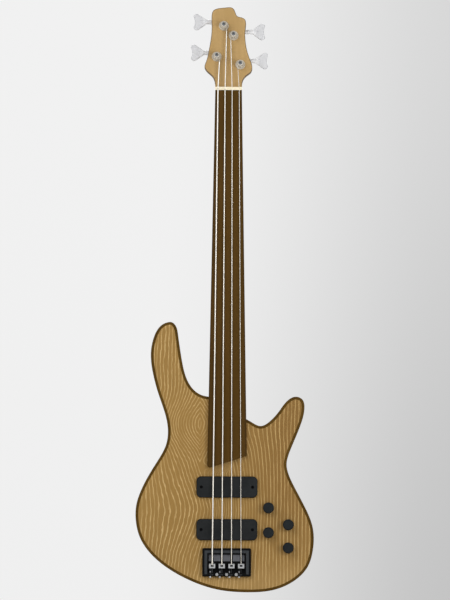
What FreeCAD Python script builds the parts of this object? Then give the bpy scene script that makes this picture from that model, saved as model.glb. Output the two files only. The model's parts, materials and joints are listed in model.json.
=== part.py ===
"""Four-string fretless electric bass guitar, head up, front towards -Y.

The frame's origin is the nut's front edge on the centre line, in the plane where the
fingerboard is glued to the neck. X runs to the treble side, Y to the back, Z to the head.
"""
import FreeCAD, Part
import Sketcher
import math
import os
import re

Vector = FreeCAD.Vector
Placement = FreeCAD.Placement
Rotation = FreeCAD.Rotation

sizes = {
    # Clearances and overruns
    "cut_overrun": 2.0,
    "glue_gap": 0.1,
    "hole_gap": 0.06,
    "running_gap": 0.05,
    "pocket_gap": 0.15,
    "lift_gap": 0.05,
    # Playing length and strings
    "scale_length": 863.6,
    "string_spread_at_nut": 38.7,
    "string_spread_at_bridge": 52.7,
    "string_dia_e": 2.67,
    "string_dia_a": 2.16,
    "string_dia_d": 1.65,
    "string_dia_g": 1.14,
    "string_lift_at_nut": 0.7,
    "string_lift_at_bridge": 12.2,
    "string_bend": 7.0,
    "string_channel_gap": 0.2,
    "string_channel_reach": 14.0,
    "wrap_gap": 0.5,
    "wrap_start": 6.2,
    "wrap_seat": 0.1,
    "ball_radius": 2.4,
    "ball_length": 4.6,
    # Neck, fingerboard and nut
    "nut_width": 48.4,
    "nut_length": 5.8,
    "nut_rise": 1.9,
    "board_depth": 6.5,
    "board_radius": 305.0,
    "board_end_width": 72.4,
    "board_corner": 5.0,
    "neck_depth_at_head": 15.8,
    "neck_depth_at_waist": 14.5,
    "neck_depth_at_heel": 17.0,
    "neck_waist": 45.0,
    "heel_depth": 20.0,
    "heel_chamfer": 2.0,
    "truss_width": 6.0,
    "truss_depth": 9.0,
    "truss_inset": 22.0,
    "truss_nut_radius": 3.8,
    "truss_nut_length": 12.0,
    "truss_gap": 0.15,
    "bolt_spread": 34.0,
    "bolt_pitch": 40.0,
    "bolt_inset": 14.0,
    "bolt_radius": 2.5,
    "bolt_length": 34.0,
    "bolt_head_radius": 4.6,
    "bolt_head_depth": 2.2,
    "ferrule_radius": 7.5,
    "ferrule_depth": 3.0,
    "ferrule_lip": 1.0,
    # Headstock
    "head_length": 146.9,
    "head_width": 86.6,
    "head_depth": 15.0,
    "head_drop": 1.0,
    "head_edge_round": 1.8,
    # Body
    "body_length": 491.4,
    "body_width": 323.6,
    "body_depth": 38.0,
    "butt_margin": 50.4,
    "neck_raise": 2.0,
    "top_depth": 7.0,
    "binding_width": 4.9,
    "binding_round": 1.2,
    "board_joint_offset": 38.0,
    # Tuners
    "bush_radius": 6.0,
    "bush_flange_radius": 9.2,
    "bush_flange_depth": 1.6,
    "bush_flange_slope": 0.7,
    "post_radius": 4.0,
    "post_tail_radius": 3.0,
    "post_collar_radius": 5.0,
    "post_collar_rise": 3.8,
    "post_waist_radius": 4.2,
    "post_waist_start": 4.4,
    "post_waist_end": 14.6,
    "post_head_radius": 5.2,
    "post_head_start": 15.4,
    "post_rise": 17.4,
    "post_crown": 0.8,
    "rivet_radius": 3.8,
    "rivet_depth": 1.2,
    "plate_depth": 1.2,
    "plate_half_width": 8.0,
    "plate_worm_reach": 18.5,
    "plate_post_reach": 11.0,
    "plate_screw_inset": 2.6,
    "plate_corner": 1.5,
    "gear_module": 0.7,
    "gear_width": 3.6,
    "gear_backlash": 0.4,
    "gear_lift": 0.2,
    "worm_pitch_radius": 3.0,
    "worm_root_radius": 2.1,
    "worm_shaft_radius": 2.0,
    "worm_half_length": 5.3,
    "worm_gap": 0.4,
    "thread_sink": 0.25,
    "ear_depth": 1.6,
    "ear_wall": 1.2,
    "ear_gap": 0.3,
    "shaft_tail": 0.6,
    "key_length": 36.5,
    "key_depth": 6.0,
    "key_stem_radius": 4.0,
    "key_flare_start": 13.4,
    "key_lobe_radius": 5.9,
    "key_lobe_offset": 8.9,
    "key_notch_radius": 24.0,
    "key_notch_depth": 2.4,
    "key_round": 1.6,
    "key_socket": 19.2,
    "key_reach_e": 47.0,
    "key_reach_a": 55.0,
    "key_reach_d": 57.5,
    "key_reach_g": 50.5,
    "small_screw_radius": 1.1,
    "small_screw_length": 9.0,
    "small_screw_head_radius": 2.2,
    "small_screw_head_depth": 1.2,
    # Pickups
    "pickup_width": 110.3,
    "pickup_length": 38.0,
    "pickup_depth": 17.0,
    "pickup_rise": 6.0,
    "pickup_corner": 8.2,
    "pickup_edge_round": 1.6,
    "pickup_wall": 2.0,
    "pickup_boss_wall": 2.0,
    "pickup_screw_spread": 93.4,
    "pickup_screw_radius": 1.5,
    "pickup_screw_length": 30.0,
    "pickup_screw_head_radius": 2.8,
    "pickup_screw_head_depth": 1.8,
    "pickup_travel_in": 3.0,
    "rout_gap": 0.5,
    "rout_depth": 19.0,
    "bobbin_width": 80.0,
    "bobbin_length": 30.0,
    "bobbin_flange": 1.4,
    "bobbin_core_length": 9.0,
    "coil_depth": 6.0,
    "coil_inset": 1.5,
    "magnet_length": 6.0,
    "magnet_depth": 4.0,
    "magnet_inset": 5.0,
    "sleeve_wall": 1.8,
    # Bridge
    "bridge_width": 88.8,
    "bridge_lead": 29.7,
    "bridge_tail": 22.0,
    "bridge_floor": 2.5,
    "bridge_rim_rise": 8.0,
    "bridge_bar": 10.4,
    "bridge_tail_block": 7.4,
    "bridge_corner": 2.6,
    "bridge_edge_round": 1.2,
    "ball_inset": 3.6,
    "ball_rise": 3.0,
    "ball_pocket_gap": 0.3,
    "bridge_screw_radius": 2.0,
    "bridge_screw_length": 26.0,
    "bridge_screw_head_radius": 3.4,
    "bridge_screw_head_depth": 1.6,
    "saddle_width": 11.3,
    "saddle_length": 9.1,
    "saddle_lead": 1.7,
    "saddle_lift": 0.5,
    "saddle_lip": 1.6,
    "saddle_edge": 0.6,
    "saddle_screw_radius": 0.9,
    "saddle_screw_offset": 3.7,
    "saddle_screw_inset": 1.3,
    "intonation_radius": 1.25,
    "intonation_offset": 3.6,
    "intonation_rise": 4.6,
    "intonation_bite": 4.0,
    "intonation_head_radius": 2.2,
    "intonation_head_depth": 2.0,
    # Controls
    "knob_radius": 10.0,
    "knob_rise": 15.0,
    "knob_draft": 0.5,
    "knob_crown": 1.2,
    "knob_recess_radius": 7.2,
    "knob_recess_depth": 4.2,
    "knob_lift": 0.8,
    "knob_bore_depth": 12.0,
    "shaft_radius": 3.0,
    "shaft_depth": 5.0,
    "pot_radius": 8.5,
    "pot_depth": 9.0,
    "pot_bush_radius": 3.9,
    "pot_bush_rise": 3.4,
    "pot_nut_radius": 5.8,
    "pot_nut_depth": 2.2,
    "cavity_roof": 8.0,
    "cavity_margin": 14.0,
    "cavity_wall": 6.15,
    "cover_margin": 20.0,
    "cover_depth": 2.0,
    "cover_gap": 0.2,
    "jack_sink": 21.0,
    "jack_bore_radius": 3.25,
    "jack_bore_depth": 28.0,
    "jack_radius": 7.0,
    "jack_flange_radius": 10.5,
    "jack_flange_depth": 2.0,
    "jack_recess": 1.2,
    "jack_nut_radius": 9.5,
    "jack_nut_depth": 2.6,
    "jack_tail": 4.0,
    "wire_radius": 0.9,
    "wire_bend": 4.0,
    "wire_sink": 16.3,
    "wire_pitch": 2.0,
    "channel_radius": 3.6,
    "capacitor_radius": 2.2,
    "capacitor_length": 9.0,
    # Strap sockets
    "socket_bore_radius": 4.05,
    "socket_bore_depth": 12.0,
    "socket_radius": 6.5,
    "socket_flange_radius": 8.0,
    "socket_flange_depth": 1.4,
    "socket_floor": 2.0,
    "socket_recess": 2.2,
}

head_tilt_degrees = 10
neck_roundness = 2.3
neck_section_steps = 12
inset_steps = 200
bend_steps = 1000
gear_teeth = 20
worm_turns = 4
tooth_slope = math.tan(math.radians(20))
tail_bend_share = 0.47
cross_reach_share = 0.62
cross_half_width_share = 0.13
cross_depth_share = 0.6
string_names = ("e", "a", "d", "g")
string_turns = {"e": 2, "a": 2, "d": 3, "g": 3}
post_sides = {"e": -1, "a": -1, "d": 1, "g": 1}

# Outlines as shares: the body's of its width and of its length from the butt
body_outline_shares = (
    (-0.326, 1.000), (-0.377, 0.985), (-0.415, 0.942), (-0.431, 0.879), (-0.417, 0.805),
    (-0.385, 0.729), (-0.351, 0.664), (-0.333, 0.601), (-0.344, 0.544), (-0.388, 0.488),
    (-0.440, 0.432), (-0.483, 0.376), (-0.510, 0.319), (-0.511, 0.260), (-0.488, 0.201),
    (-0.432, 0.145), (-0.335, 0.090), (-0.209, 0.044), (-0.054, 0.010), (0.115, 0.000),
    (0.270, 0.010), (0.382, 0.044), (0.454, 0.093), (0.485, 0.158), (0.482, 0.245),
    (0.439, 0.316), (0.387, 0.381), (0.345, 0.440), (0.335, 0.473), (0.349, 0.516),
    (0.383, 0.571), (0.416, 0.627), (0.434, 0.681), (0.422, 0.715), (0.386, 0.725),
    (0.345, 0.714), (0.296, 0.675), (0.246, 0.637), (0.187, 0.616), (0.130, 0.633),
    (0.077, 0.653), (0.010, 0.694), (-0.075, 0.721), (-0.137, 0.728), (-0.186, 0.747),
    (-0.226, 0.785), (-0.250, 0.836), (-0.266, 0.896), (-0.278, 0.951), (-0.294, 0.988),
)
# The headstock's outline as shares of its width and of its length from the nut
head_outline_shares = (
    (-0.280, 0.000), (-0.287, 0.055), (-0.323, 0.118), (-0.446, 0.191), (-0.506, 0.250),
    (-0.477, 0.317), (-0.419, 0.455), (-0.376, 0.606), (-0.358, 0.751), (-0.363, 0.877),
    (-0.326, 0.961), (-0.209, 0.990), (-0.062, 1.000), (0.077, 0.994), (0.130, 0.948),
    (0.179, 0.891), (0.250, 0.878), (0.326, 0.859), (0.360, 0.804), (0.346, 0.713),
    (0.346, 0.606), (0.387, 0.455), (0.447, 0.348), (0.494, 0.258), (0.473, 0.192),
    (0.396, 0.153), (0.319, 0.107), (0.284, 0.050), (0.280, 0.000),
)
# Places along the body as shares of its length, from the saddle line towards the head
body_place_shares = {
    "board_end_bass": 0.3549,
    "board_end_treble": 0.4019,
    "heel_end": 0.4143,
    "heel_start": 0.6422,
    "neck_pickup": 0.2869,
    "bridge_pickup": 0.1290,
    "neck_volume": 0.2104,
    "neck_tone": 0.1481,
    "bridge_volume": 0.1184,
    "bridge_tone": 0.0623,
    "jack": 0.0908,
}
# The outer knobs' share of the body's width, and the back edge's round as a share of the tightest bend
outer_knob_share = 0.3461
back_round_share = 0.9
# The horn's strap socket as shares of the body's width and of its length from the butt
horn_socket_shares = (-0.345, 0.945)
# String posts as shares of the headstock's width and length
post_shares = {
    "e": (-0.253, 0.380),
    "a": (-0.106, 0.767),
    "d": (0.098, 0.645),
    "g": (0.244, 0.280),
}

doc = FreeCAD.newDocument("bass_guitar")
sheet = doc.addObject("Spreadsheet::Sheet", "Sizes")
for row, (name, number) in enumerate(sizes.items(), start=1):
    sheet.set("A%d" % row, name)
    sheet.set("B%d" % row, str(number))
    sheet.setAlias("B%d" % row, name)
doc.recompute()


class SheetSizes:
    """The sheet's numbers, read by name."""

    def __getattr__(self, name):
        return float(sheet.get(name))


size = SheetSizes()
nodes = {}


# Planes and lines that several pieces share

saddle_z = -size.scale_length
butt_z = saddle_z - size.butt_margin
body_places = {name: saddle_z + share * size.body_length for name, share in body_place_shares.items()}
heel_end_z = body_places["heel_end"]
heel_start_z = body_places["heel_start"]
body_face_y = size.neck_raise
core_face_y = body_face_y + size.top_depth
body_back_y = body_face_y + size.body_depth
bridge_floor_y = body_face_y - size.bridge_floor
bridge_rear_z = saddle_z - size.bridge_tail
bridge_front_z = saddle_z + size.bridge_lead
tail_block_z = bridge_rear_z + size.bridge_tail_block
rout_floor_y = body_face_y + size.rout_depth
cavity_roof_y = body_face_y + size.cavity_roof
jack_place_z = body_places["jack"]
jack_place_y = body_face_y + size.jack_sink
gear_pitch_radius = size.gear_module * gear_teeth / 2
worm_lead = math.pi * size.gear_module
worm_tip_radius = size.worm_pitch_radius + size.gear_module
worm_offset = gear_pitch_radius + size.worm_pitch_radius + size.gear_lift
gear_middle_y = size.head_depth + size.plate_depth + size.worm_gap + worm_tip_radius
head_frame = Placement(
    Vector(0, size.head_drop, size.nut_length), Rotation(Vector(1, 0, 0), -head_tilt_degrees)
)
pickup_places = {"neck": body_places["neck_pickup"], "bridge": body_places["bridge_pickup"]}
inner_knob_x = size.pickup_width / 2 + size.rout_gap + size.cavity_wall + size.cavity_margin
outer_knob_x = outer_knob_share * size.body_width
knob_places = {
    "neck_volume": (inner_knob_x, body_places["neck_volume"]),
    "neck_tone": (outer_knob_x, body_places["neck_tone"]),
    "bridge_tone": (outer_knob_x, body_places["bridge_tone"]),
    "bridge_volume": (inner_knob_x, body_places["bridge_volume"]),
}

# Rotations that turn a piece's own +Z to a direction of the frame
to_front = Rotation(Vector(1, 0, 0), 90)
to_back = Rotation(Vector(1, 0, 0), -90)
to_treble = Rotation(Vector(0, 1, 0), 90)
to_butt = Rotation(Vector(1, 0, 0), 180)


# Small helpers

def sheet_terms(formula):
    """Put the sheet's name before each size in a formula."""
    return re.sub(r"[a-z][a-z0-9_]*", lambda word: "Sizes." + word.group(0), formula)


def add_node(label, shape):
    """A sub-part whose shape is made with Part's functions, at its own place."""
    feature = doc.addObject("Part::Feature", label)
    feature.Label = label
    feature.Shape = shape
    feature.Placement = shape.Placement
    nodes[label] = feature


def closed_sketch(body, name, role, corners):
    """A closed polygon on an origin plane, each corner held by two formulas of the sheet."""
    sketch = body.newObject("Sketcher::SketchObject", name)
    plane = next(item for item in body.Origin.OriginFeatures if item.Role == role)
    sketch.AttachmentSupport = [(plane, "")]
    sketch.MapMode = "FlatFace"
    count = len(corners)
    turns = [math.tau * i / count for i in range(count)]
    starts = [Vector(math.cos(turn), math.sin(turn), 0) for turn in turns]
    for i in range(count):
        sketch.addGeometry(Part.LineSegment(starts[i], starts[(i + 1) % count]), False)
    for i in range(count):
        sketch.addConstraint(Sketcher.Constraint("Coincident", i, 2, (i + 1) % count, 1))
    for i, corner in enumerate(corners):
        for kind, axis, formula in zip(("DistanceX", "DistanceY"), (-2, -1), corner):
            if formula == "0":
                sketch.addConstraint(Sketcher.Constraint("PointOnObject", i, 1, axis))
                continue
            index = sketch.addConstraint(Sketcher.Constraint(kind, -1, 1, i, 1, 1.0))
            sketch.renameConstraint(index, "%s_%d" % (kind.lower(), i))
            sketch.setExpression("Constraints.%s_%d" % (kind.lower(), i), sheet_terms(formula))
    return sketch


def turned(label, profile):
    """A body turned about its own Z axis from a profile of (radius, height) formulas."""
    body = doc.addObject("PartDesign::Body", label)
    body.Label = label
    sketch = closed_sketch(body, label + "_profile", "XZ_Plane", profile)
    turn = body.newObject("PartDesign::Revolution", label + "_turn")
    turn.Profile = sketch
    turn.ReferenceAxis = (sketch, ["V_Axis"])
    turn.Angle = 360
    body.Tip = turn
    doc.recompute()
    return body


def crossed(body, head_radius, head_depth):
    """The shape of a turned screw with a cross recess in the head at its top."""
    top = max(vertex.Z for vertex in body.Shape.Vertexes)
    reach = head_radius * cross_reach_share
    half = head_radius * cross_half_width_share
    low = top - head_depth * cross_depth_share
    high = top + size.cut_overrun
    arms = [block(-reach, reach, -half, half, low, high), block(-half, half, -reach, reach, low, high)]
    return body.Shape.cut(arms)


def placed(shape, base, rotation=Rotation(), frame=Placement()):
    """A copy of a shape at a place in a frame."""
    copy = shape.copy()
    copy.Placement = frame.multiply(Placement(base, rotation)).multiply(copy.Placement)
    return copy


def block(x_low, x_high, y_low, y_high, z_low, z_high):
    return Part.makeBox(
        x_high - x_low, y_high - y_low, z_high - z_low, Vector(x_low, y_low, z_low)
    )


def rod(radius, start, end):
    run = end - start
    return Part.makeCylinder(radius, run.Length, start, run)


def plan_prism(corners, y_low, y_high):
    """A prism over a polygon of (x, z) corners, from one depth to another."""
    points = [Vector(x, y_low, z) for x, z in corners]
    face = Part.Face(Part.makePolygon(points + points[:1]))
    return face.extrude(Vector(0, y_high - y_low, 0))


def edges_along(shape, direction):
    """The straight edges of a shape that run along a direction."""
    found = []
    for edge in shape.Edges:
        if isinstance(edge.Curve, Part.Line):
            if abs(edge.tangentAt(edge.FirstParameter).dot(direction)) > 0.999:
                found.append(edge)
    return found


def edges_at_depth(shape, depth):
    """The edges of a shape that lie in one plane of constant Y."""
    near = size.lift_gap
    return [
        edge for edge in shape.Edges
        if abs(edge.BoundBox.YMin - depth) < near and abs(edge.BoundBox.YMax - depth) < near
    ]


def corner_arc(start, corner, end):
    """The arc that leaves start towards the corner and reaches end, both as far from it."""
    middle = (start + end) * 0.5
    half_chord = (end - start).Length / 2
    leg = (corner - start).Length
    rise = half_chord * math.tan(math.acos(min(half_chord / leg, 1.0)) / 2)
    top = middle + (corner - middle).normalize() * rise
    return Part.Arc(start, top, end).toShape()


def rounded_run(points, bend):
    """Edges of a run through points, with a tangent arc of one radius at each inner point."""
    edges = []
    start = points[0]
    for before, corner, after in zip(points, points[1:], points[2:]):
        to_before = (before - corner).normalize()
        to_after = (after - corner).normalize()
        half_angle = to_before.getAngle(to_after) / 2
        cut_back = bend / math.tan(half_angle)
        first = corner + to_before * cut_back
        last = corner + to_after * cut_back
        edges.append(Part.makeLine(start, first))
        edges.append(corner_arc(first, corner, last))
        start = last
    edges.append(Part.makeLine(start, points[-1]))
    return edges


def biarc(start, start_way, end, end_way):
    """Two tangent arcs from one place and way to another."""
    span = end - start
    ways = start_way + end_way
    spread = 2 * (1 - start_way.dot(end_way))
    along = span.dot(ways)
    leg = (math.sqrt(along * along + spread * span.dot(span)) - along) / spread
    first_corner = start + start_way * leg
    last_corner = end - end_way * leg
    joint = (first_corner + last_corner) * 0.5
    return [corner_arc(start, first_corner, joint), corner_arc(joint, last_corner, end)]


def tube(edges, radius):
    """A round tube along a run of tangent edges."""
    path = Part.Wire(edges)
    first = edges[0]
    start = first.Vertexes[0].Point
    way = first.tangentAt(first.FirstParameter)
    ring = Part.Wire([Part.Circle(start, way, radius).toShape()])
    shell = Part.BRepOffsetAPI.MakePipeShell(path)
    shell.add(ring)
    shell.build()
    shell.makeSolid()
    return shell.shape()


def neck_half_width(distance):
    """Half the fingerboard's width at a distance from the nut."""
    growth = (size.board_end_width - size.nut_width) * distance / -body_places["board_end_bass"]
    return (size.nut_width + growth) / 2


def crown_drop(offset):
    """How far the fingerboard's round falls at an offset from the centre line."""
    return offset * offset / (2 * size.board_radius)


def screw_places():
    """Corners of a tuner plate where its screws go, from the post's axis."""
    reach = size.plate_half_width - size.plate_screw_inset
    top = size.plate_worm_reach - size.plate_screw_inset
    foot = size.plate_screw_inset - size.plate_post_reach
    return [Vector(side * reach, 0, end) for side in (-1, 1) for end in (top, foot)]


def post_place(name):
    """Where a string post's axis meets the headstock's face, in the headstock's frame."""
    across_share, along_share = post_shares[name]
    return Vector(across_share * size.head_width, 0, along_share * size.head_length)


def bolt_places():
    """Neck bolts as (x, z)."""
    low = heel_end_z + size.bolt_inset
    half = size.bolt_spread / 2
    return [(side * half, z) for side in (-1, 1) for z in (low, low + size.bolt_pitch)]


def pickup_screw_places():
    half = size.pickup_screw_spread / 2
    return [(side * half, z) for z in pickup_places.values() for side in (-1, 1)]


def string_offset(name, spread):
    """A string's offset from the centre line where the four spread over a width."""
    index = string_names.index(name)
    middle = (len(string_names) - 1) / 2
    return (index - middle) / (len(string_names) - 1) * spread


def bridge_screw_places():
    """Fixing screws of the bridge, half way between neighbouring strings, as (x, z)."""
    offsets = [string_offset(name, size.string_spread_at_bridge) for name in string_names]
    z = (bridge_rear_z + tail_block_z) / 2
    return [((left + right) / 2, z) for left, right in zip(offsets, offsets[1:])]


# Screws and other turned patterns that several nodes repeat

small_screw_blank = turned("small_screw_pattern", [
    ("0", "0"),
    ("small_screw_radius", "small_screw_radius"),
    ("small_screw_radius", "small_screw_length"),
    ("small_screw_head_radius", "small_screw_length"),
    ("small_screw_head_radius - small_screw_head_depth / 2", "small_screw_length + small_screw_head_depth"),
    ("0", "small_screw_length + small_screw_head_depth"),
])
small_screw = crossed(small_screw_blank, size.small_screw_head_radius, size.small_screw_head_depth)
pickup_screw_blank = turned("pickup_screw_pattern", [
    ("0", "0"),
    ("pickup_screw_radius", "pickup_screw_radius"),
    ("pickup_screw_radius", "pickup_screw_length - pickup_screw_head_depth"),
    ("pickup_screw_head_radius", "pickup_screw_length"),
    ("0", "pickup_screw_length"),
])
pickup_screw = crossed(pickup_screw_blank, size.pickup_screw_head_radius, size.pickup_screw_head_depth)
bridge_screw_blank = turned("bridge_screw_pattern", [
    ("0", "0"),
    ("bridge_screw_radius", "bridge_screw_radius"),
    ("bridge_screw_radius", "bridge_screw_length"),
    ("bridge_screw_head_radius", "bridge_screw_length"),
    (
        "bridge_screw_head_radius - bridge_screw_head_depth / 2",
        "bridge_screw_length + bridge_screw_head_depth",
    ),
    ("0", "bridge_screw_length + bridge_screw_head_depth"),
])
bridge_screw = crossed(bridge_screw_blank, size.bridge_screw_head_radius, size.bridge_screw_head_depth)
neck_bolt_blank = turned("neck_bolt_pattern", [
    ("0", "0"),
    ("bolt_radius", "bolt_radius"),
    ("bolt_radius", "bolt_length"),
    ("bolt_head_radius", "bolt_length"),
    ("bolt_head_radius - bolt_head_depth / 2", "bolt_length + bolt_head_depth"),
    ("0", "bolt_length + bolt_head_depth"),
])
neck_bolt = crossed(neck_bolt_blank, size.bolt_head_radius, size.bolt_head_depth)
ferrule = turned("ferrule_pattern", [
    ("bolt_radius + hole_gap", "0"),
    ("ferrule_radius", "0"),
    ("ferrule_radius", "ferrule_depth - ferrule_lip"),
    ("ferrule_radius - ferrule_lip", "ferrule_depth"),
    ("bolt_head_radius + hole_gap", "ferrule_depth"),
    ("bolt_head_radius + hole_gap", "ferrule_lip"),
    ("bolt_radius + hole_gap", "ferrule_lip"),
])
bushing = turned("bushing_pattern", [
    ("post_radius + running_gap", "0"),
    ("bush_radius", "0"),
    ("bush_radius", "head_depth"),
    ("bush_flange_radius", "head_depth"),
    ("bush_flange_radius - bush_flange_slope", "head_depth + bush_flange_depth"),
    ("post_radius + running_gap", "head_depth + bush_flange_depth"),
])
post_tail = (
    "(head_depth + plate_depth + worm_gap + worm_pitch_radius + gear_module"
    " + gear_width / 2 + rivet_depth)"
)
string_post = turned("string_post_pattern", [
    ("0", "0"),
    ("rivet_radius", "0"),
    ("rivet_radius", "rivet_depth"),
    ("post_tail_radius", "rivet_depth"),
    ("post_tail_radius", "rivet_depth + gear_width"),
    ("post_radius", "rivet_depth + gear_width"),
    ("post_radius", post_tail + " + bush_flange_depth + running_gap"),
    ("post_collar_radius", post_tail + " + bush_flange_depth + running_gap"),
    ("post_collar_radius", post_tail + " + post_collar_rise"),
    ("post_waist_radius", post_tail + " + post_waist_start"),
    ("post_waist_radius", post_tail + " + post_waist_end"),
    ("post_head_radius", post_tail + " + post_head_start"),
    ("post_head_radius", post_tail + " + post_rise - post_crown"),
    ("post_head_radius - post_crown", post_tail + " + post_rise"),
    ("0", post_tail + " + post_rise"),
])
potentiometer = turned("potentiometer_pattern", [
    ("0", "0"),
    ("pot_radius", "0"),
    ("pot_radius", "pot_depth"),
    ("pot_bush_radius", "pot_depth"),
    ("pot_bush_radius", "pot_depth + cavity_roof + pot_bush_rise"),
    ("shaft_radius + running_gap", "pot_depth + cavity_roof + pot_bush_rise"),
    ("shaft_radius + running_gap", "pot_depth - shaft_depth"),
    ("0", "pot_depth - shaft_depth"),
])
knob = turned("knob_pattern", [
    ("knob_recess_radius", "0"),
    ("knob_radius", "0"),
    ("knob_radius - knob_draft", "knob_rise - knob_crown"),
    ("knob_radius - knob_draft - knob_crown", "knob_rise"),
    ("0", "knob_rise"),
    ("0", "knob_bore_depth"),
    ("shaft_radius + hole_gap", "knob_bore_depth"),
    ("shaft_radius + hole_gap", "knob_recess_depth"),
    ("knob_recess_radius", "knob_recess_depth"),
])
strap_socket = turned("strap_socket_pattern", [
    ("0", "0"),
    ("socket_radius", "0"),
    ("socket_radius", "socket_floor + socket_bore_depth - socket_flange_depth"),
    ("socket_flange_radius", "socket_floor + socket_bore_depth - socket_flange_depth"),
    ("socket_flange_radius", "socket_floor + socket_bore_depth"),
    ("socket_bore_radius", "socket_floor + socket_bore_depth"),
    ("socket_bore_radius", "socket_floor"),
    ("0", "socket_floor"),
])
sleeve = turned("sleeve_pattern", [
    ("pickup_screw_radius + hole_gap", "0"),
    ("pickup_screw_radius + sleeve_wall", "0"),
    ("pickup_screw_radius + sleeve_wall", "rout_depth + pickup_rise - pickup_depth - lift_gap"),
    ("pickup_screw_radius + hole_gap", "rout_depth + pickup_rise - pickup_depth - lift_gap"),
])
intonation_length = "(bridge_tail + saddle_lead - saddle_length + intonation_bite)"
intonation_blank = turned("intonation_screw_pattern", [
    ("0", "0"),
    ("intonation_radius", "0"),
    ("intonation_radius", intonation_length),
    ("intonation_head_radius", intonation_length),
    ("intonation_head_radius", intonation_length + " + intonation_head_depth"),
    ("0", intonation_length + " + intonation_head_depth"),
])
intonation_screw = crossed(intonation_blank, size.intonation_head_radius, size.intonation_head_depth)


# String routes

class StringRoute:
    """One string from its ball end over the saddle and the nut to its wraps on the post."""

    def __init__(self, name):
        self.name = name
        self.radius = getattr(size, "string_dia_" + name) / 2
        self.side = post_sides[name]
        self.post = post_place(name)
        self.wrap_radius = size.post_waist_radius + self.radius + size.wrap_seat
        nut_x = string_offset(name, size.string_spread_at_nut)
        self.saddle_x = string_offset(name, size.string_spread_at_bridge)
        nut_y = crown_drop(nut_x) - size.board_depth - size.string_lift_at_nut - self.radius
        crest_y = body_face_y + crown_drop(self.saddle_x) - size.string_lift_at_bridge - self.radius
        self.nut = Vector(nut_x, nut_y, 0)
        self.crest = Vector(self.saddle_x, crest_y, saddle_z)
        self.ball = Vector(
            self.saddle_x, bridge_floor_y - size.ball_rise, bridge_rear_z + size.ball_inset
        )
        self.touch, self.first_angle = self.meet_post()

    def around(self, angle, radius, height):
        """A place on the post in the frame, from its angle, radius and height off the face."""
        across = -self.side * radius * math.cos(angle)
        along = radius * math.sin(angle)
        return head_frame.multVec(self.post + Vector(across, -height, along))

    def meet_post(self):
        """Where the straight run from the nut touches the wraps, and that place's angle."""
        start = head_frame.inverse().multVec(self.nut)
        to_post = Vector(self.post.x - start.x, 0, self.post.z - start.z)
        lean = math.degrees(math.asin(self.wrap_radius / to_post.Length))
        way = Rotation(Vector(0, 1, 0), -self.side * lean).multVec(to_post).normalize()
        reach = math.sqrt(to_post.Length ** 2 - self.wrap_radius ** 2)
        across = start.x + way.x * reach - self.post.x
        along = start.z + way.z * reach - self.post.z
        angle = math.atan2(along, -self.side * across)
        return self.around(angle, self.wrap_radius, size.wrap_start), angle

    def straight_edges(self):
        return rounded_run([self.ball, self.crest, self.nut, self.touch], size.string_bend)

    def channel_edges(self):
        """The run through the saddle and a little way past it."""
        ahead = (self.nut - self.crest).normalize() * size.string_channel_reach
        return rounded_run([self.ball, self.crest, self.crest + ahead], size.string_bend)

    def wrap_edges(self):
        """Wraps round the post in quarter turns, level at the end."""
        pitch = 2 * self.radius + size.wrap_gap
        quarters = 4 * string_turns[self.name]
        slope = pitch / math.tau
        places = []
        ways = []
        for quarter in range(quarters + 1):
            angle = self.first_angle + quarter * math.pi / 2
            height = size.wrap_start + slope * (angle - self.first_angle)
            places.append(self.around(angle, self.wrap_radius, height))
            ahead = self.around(angle + math.pi / 2, self.wrap_radius, slope)
            ways.append((ahead - self.around(angle, 0, 0)).normalize())
        ways[0] = (self.touch - self.nut).normalize()
        self.end_angle = self.first_angle + quarters * math.pi / 2
        self.end_height = size.wrap_start + slope * quarters * math.pi / 2
        level = self.around(self.end_angle + math.pi / 2, self.wrap_radius, 0)
        ways[-1] = (level - self.around(self.end_angle, 0, 0)).normalize()
        edges = []
        for i in range(quarters):
            edges += biarc(places[i], ways[i], places[i + 1], ways[i + 1])
        return edges

    def tail_edges(self):
        """The end that turns into the post's slot and stops at its axis."""
        bend = tail_bend_share * self.wrap_radius
        inset = self.wrap_radius - bend
        lead_angle = math.asin(bend / inset)
        slot_angle = self.end_angle + lead_angle
        centre = self.around(self.end_angle, inset, self.end_height)
        axis = self.around(0, 0, self.end_height)
        out = (self.around(slot_angle, 1, self.end_height) - axis)
        on = (self.around(slot_angle + math.pi / 2, 1, self.end_height) - axis)
        points = []
        for angle in (-lead_angle, (math.pi / 2 - lead_angle) / 2, math.pi / 2):
            points.append(centre + out * (bend * math.cos(angle)) + on * (bend * math.sin(angle)))
        self.slot_angle = slot_angle
        return [Part.Arc(*points).toShape(), Part.makeLine(points[-1], axis)]

    def edges(self):
        return self.straight_edges() + self.wrap_edges() + self.tail_edges()


routes = {name: StringRoute(name) for name in string_names}


def wrap_self_gap(route):
    """The least gap between wraps, measured on points half a turn or more apart."""
    points = []
    for edge in route.wrap_edges():
        points += edge.discretize(Number=8)[:-1]
    half_turn = 4 * 7
    least = min(
        (points[i] - points[j]).Length
        for i in range(len(points)) for j in range(i + half_turn, len(points))
    )
    return least - 2 * route.radius


def make_string(name):
    route = routes[name]
    edges = route.edges()
    wire = tube(edges, route.radius)
    length = sum(edge.Length for edge in edges)
    expected = math.pi * route.radius ** 2 * length
    print("string %s: %.1f mm long, volume %.4f of section by length, gap %.2f mm"
          % (name, length, wire.Volume / expected, wrap_self_gap(route)))
    half = Vector(size.ball_length / 2, 0, 0)
    ball = rod(size.ball_radius, route.ball - half, route.ball + half)
    add_node("string_" + name, wire.fuse(ball))


# Body

def closed_curve(points):
    curve = Part.BSplineCurve()
    curve.interpolate(Points=points, PeriodicFlag=True)
    return curve


outline_curve = closed_curve([
    Vector(across * size.body_width, 0, butt_z + along * size.body_length)
    for across, along in body_outline_shares
])
body_outline = Part.Wire([outline_curve.toShape()])


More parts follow.
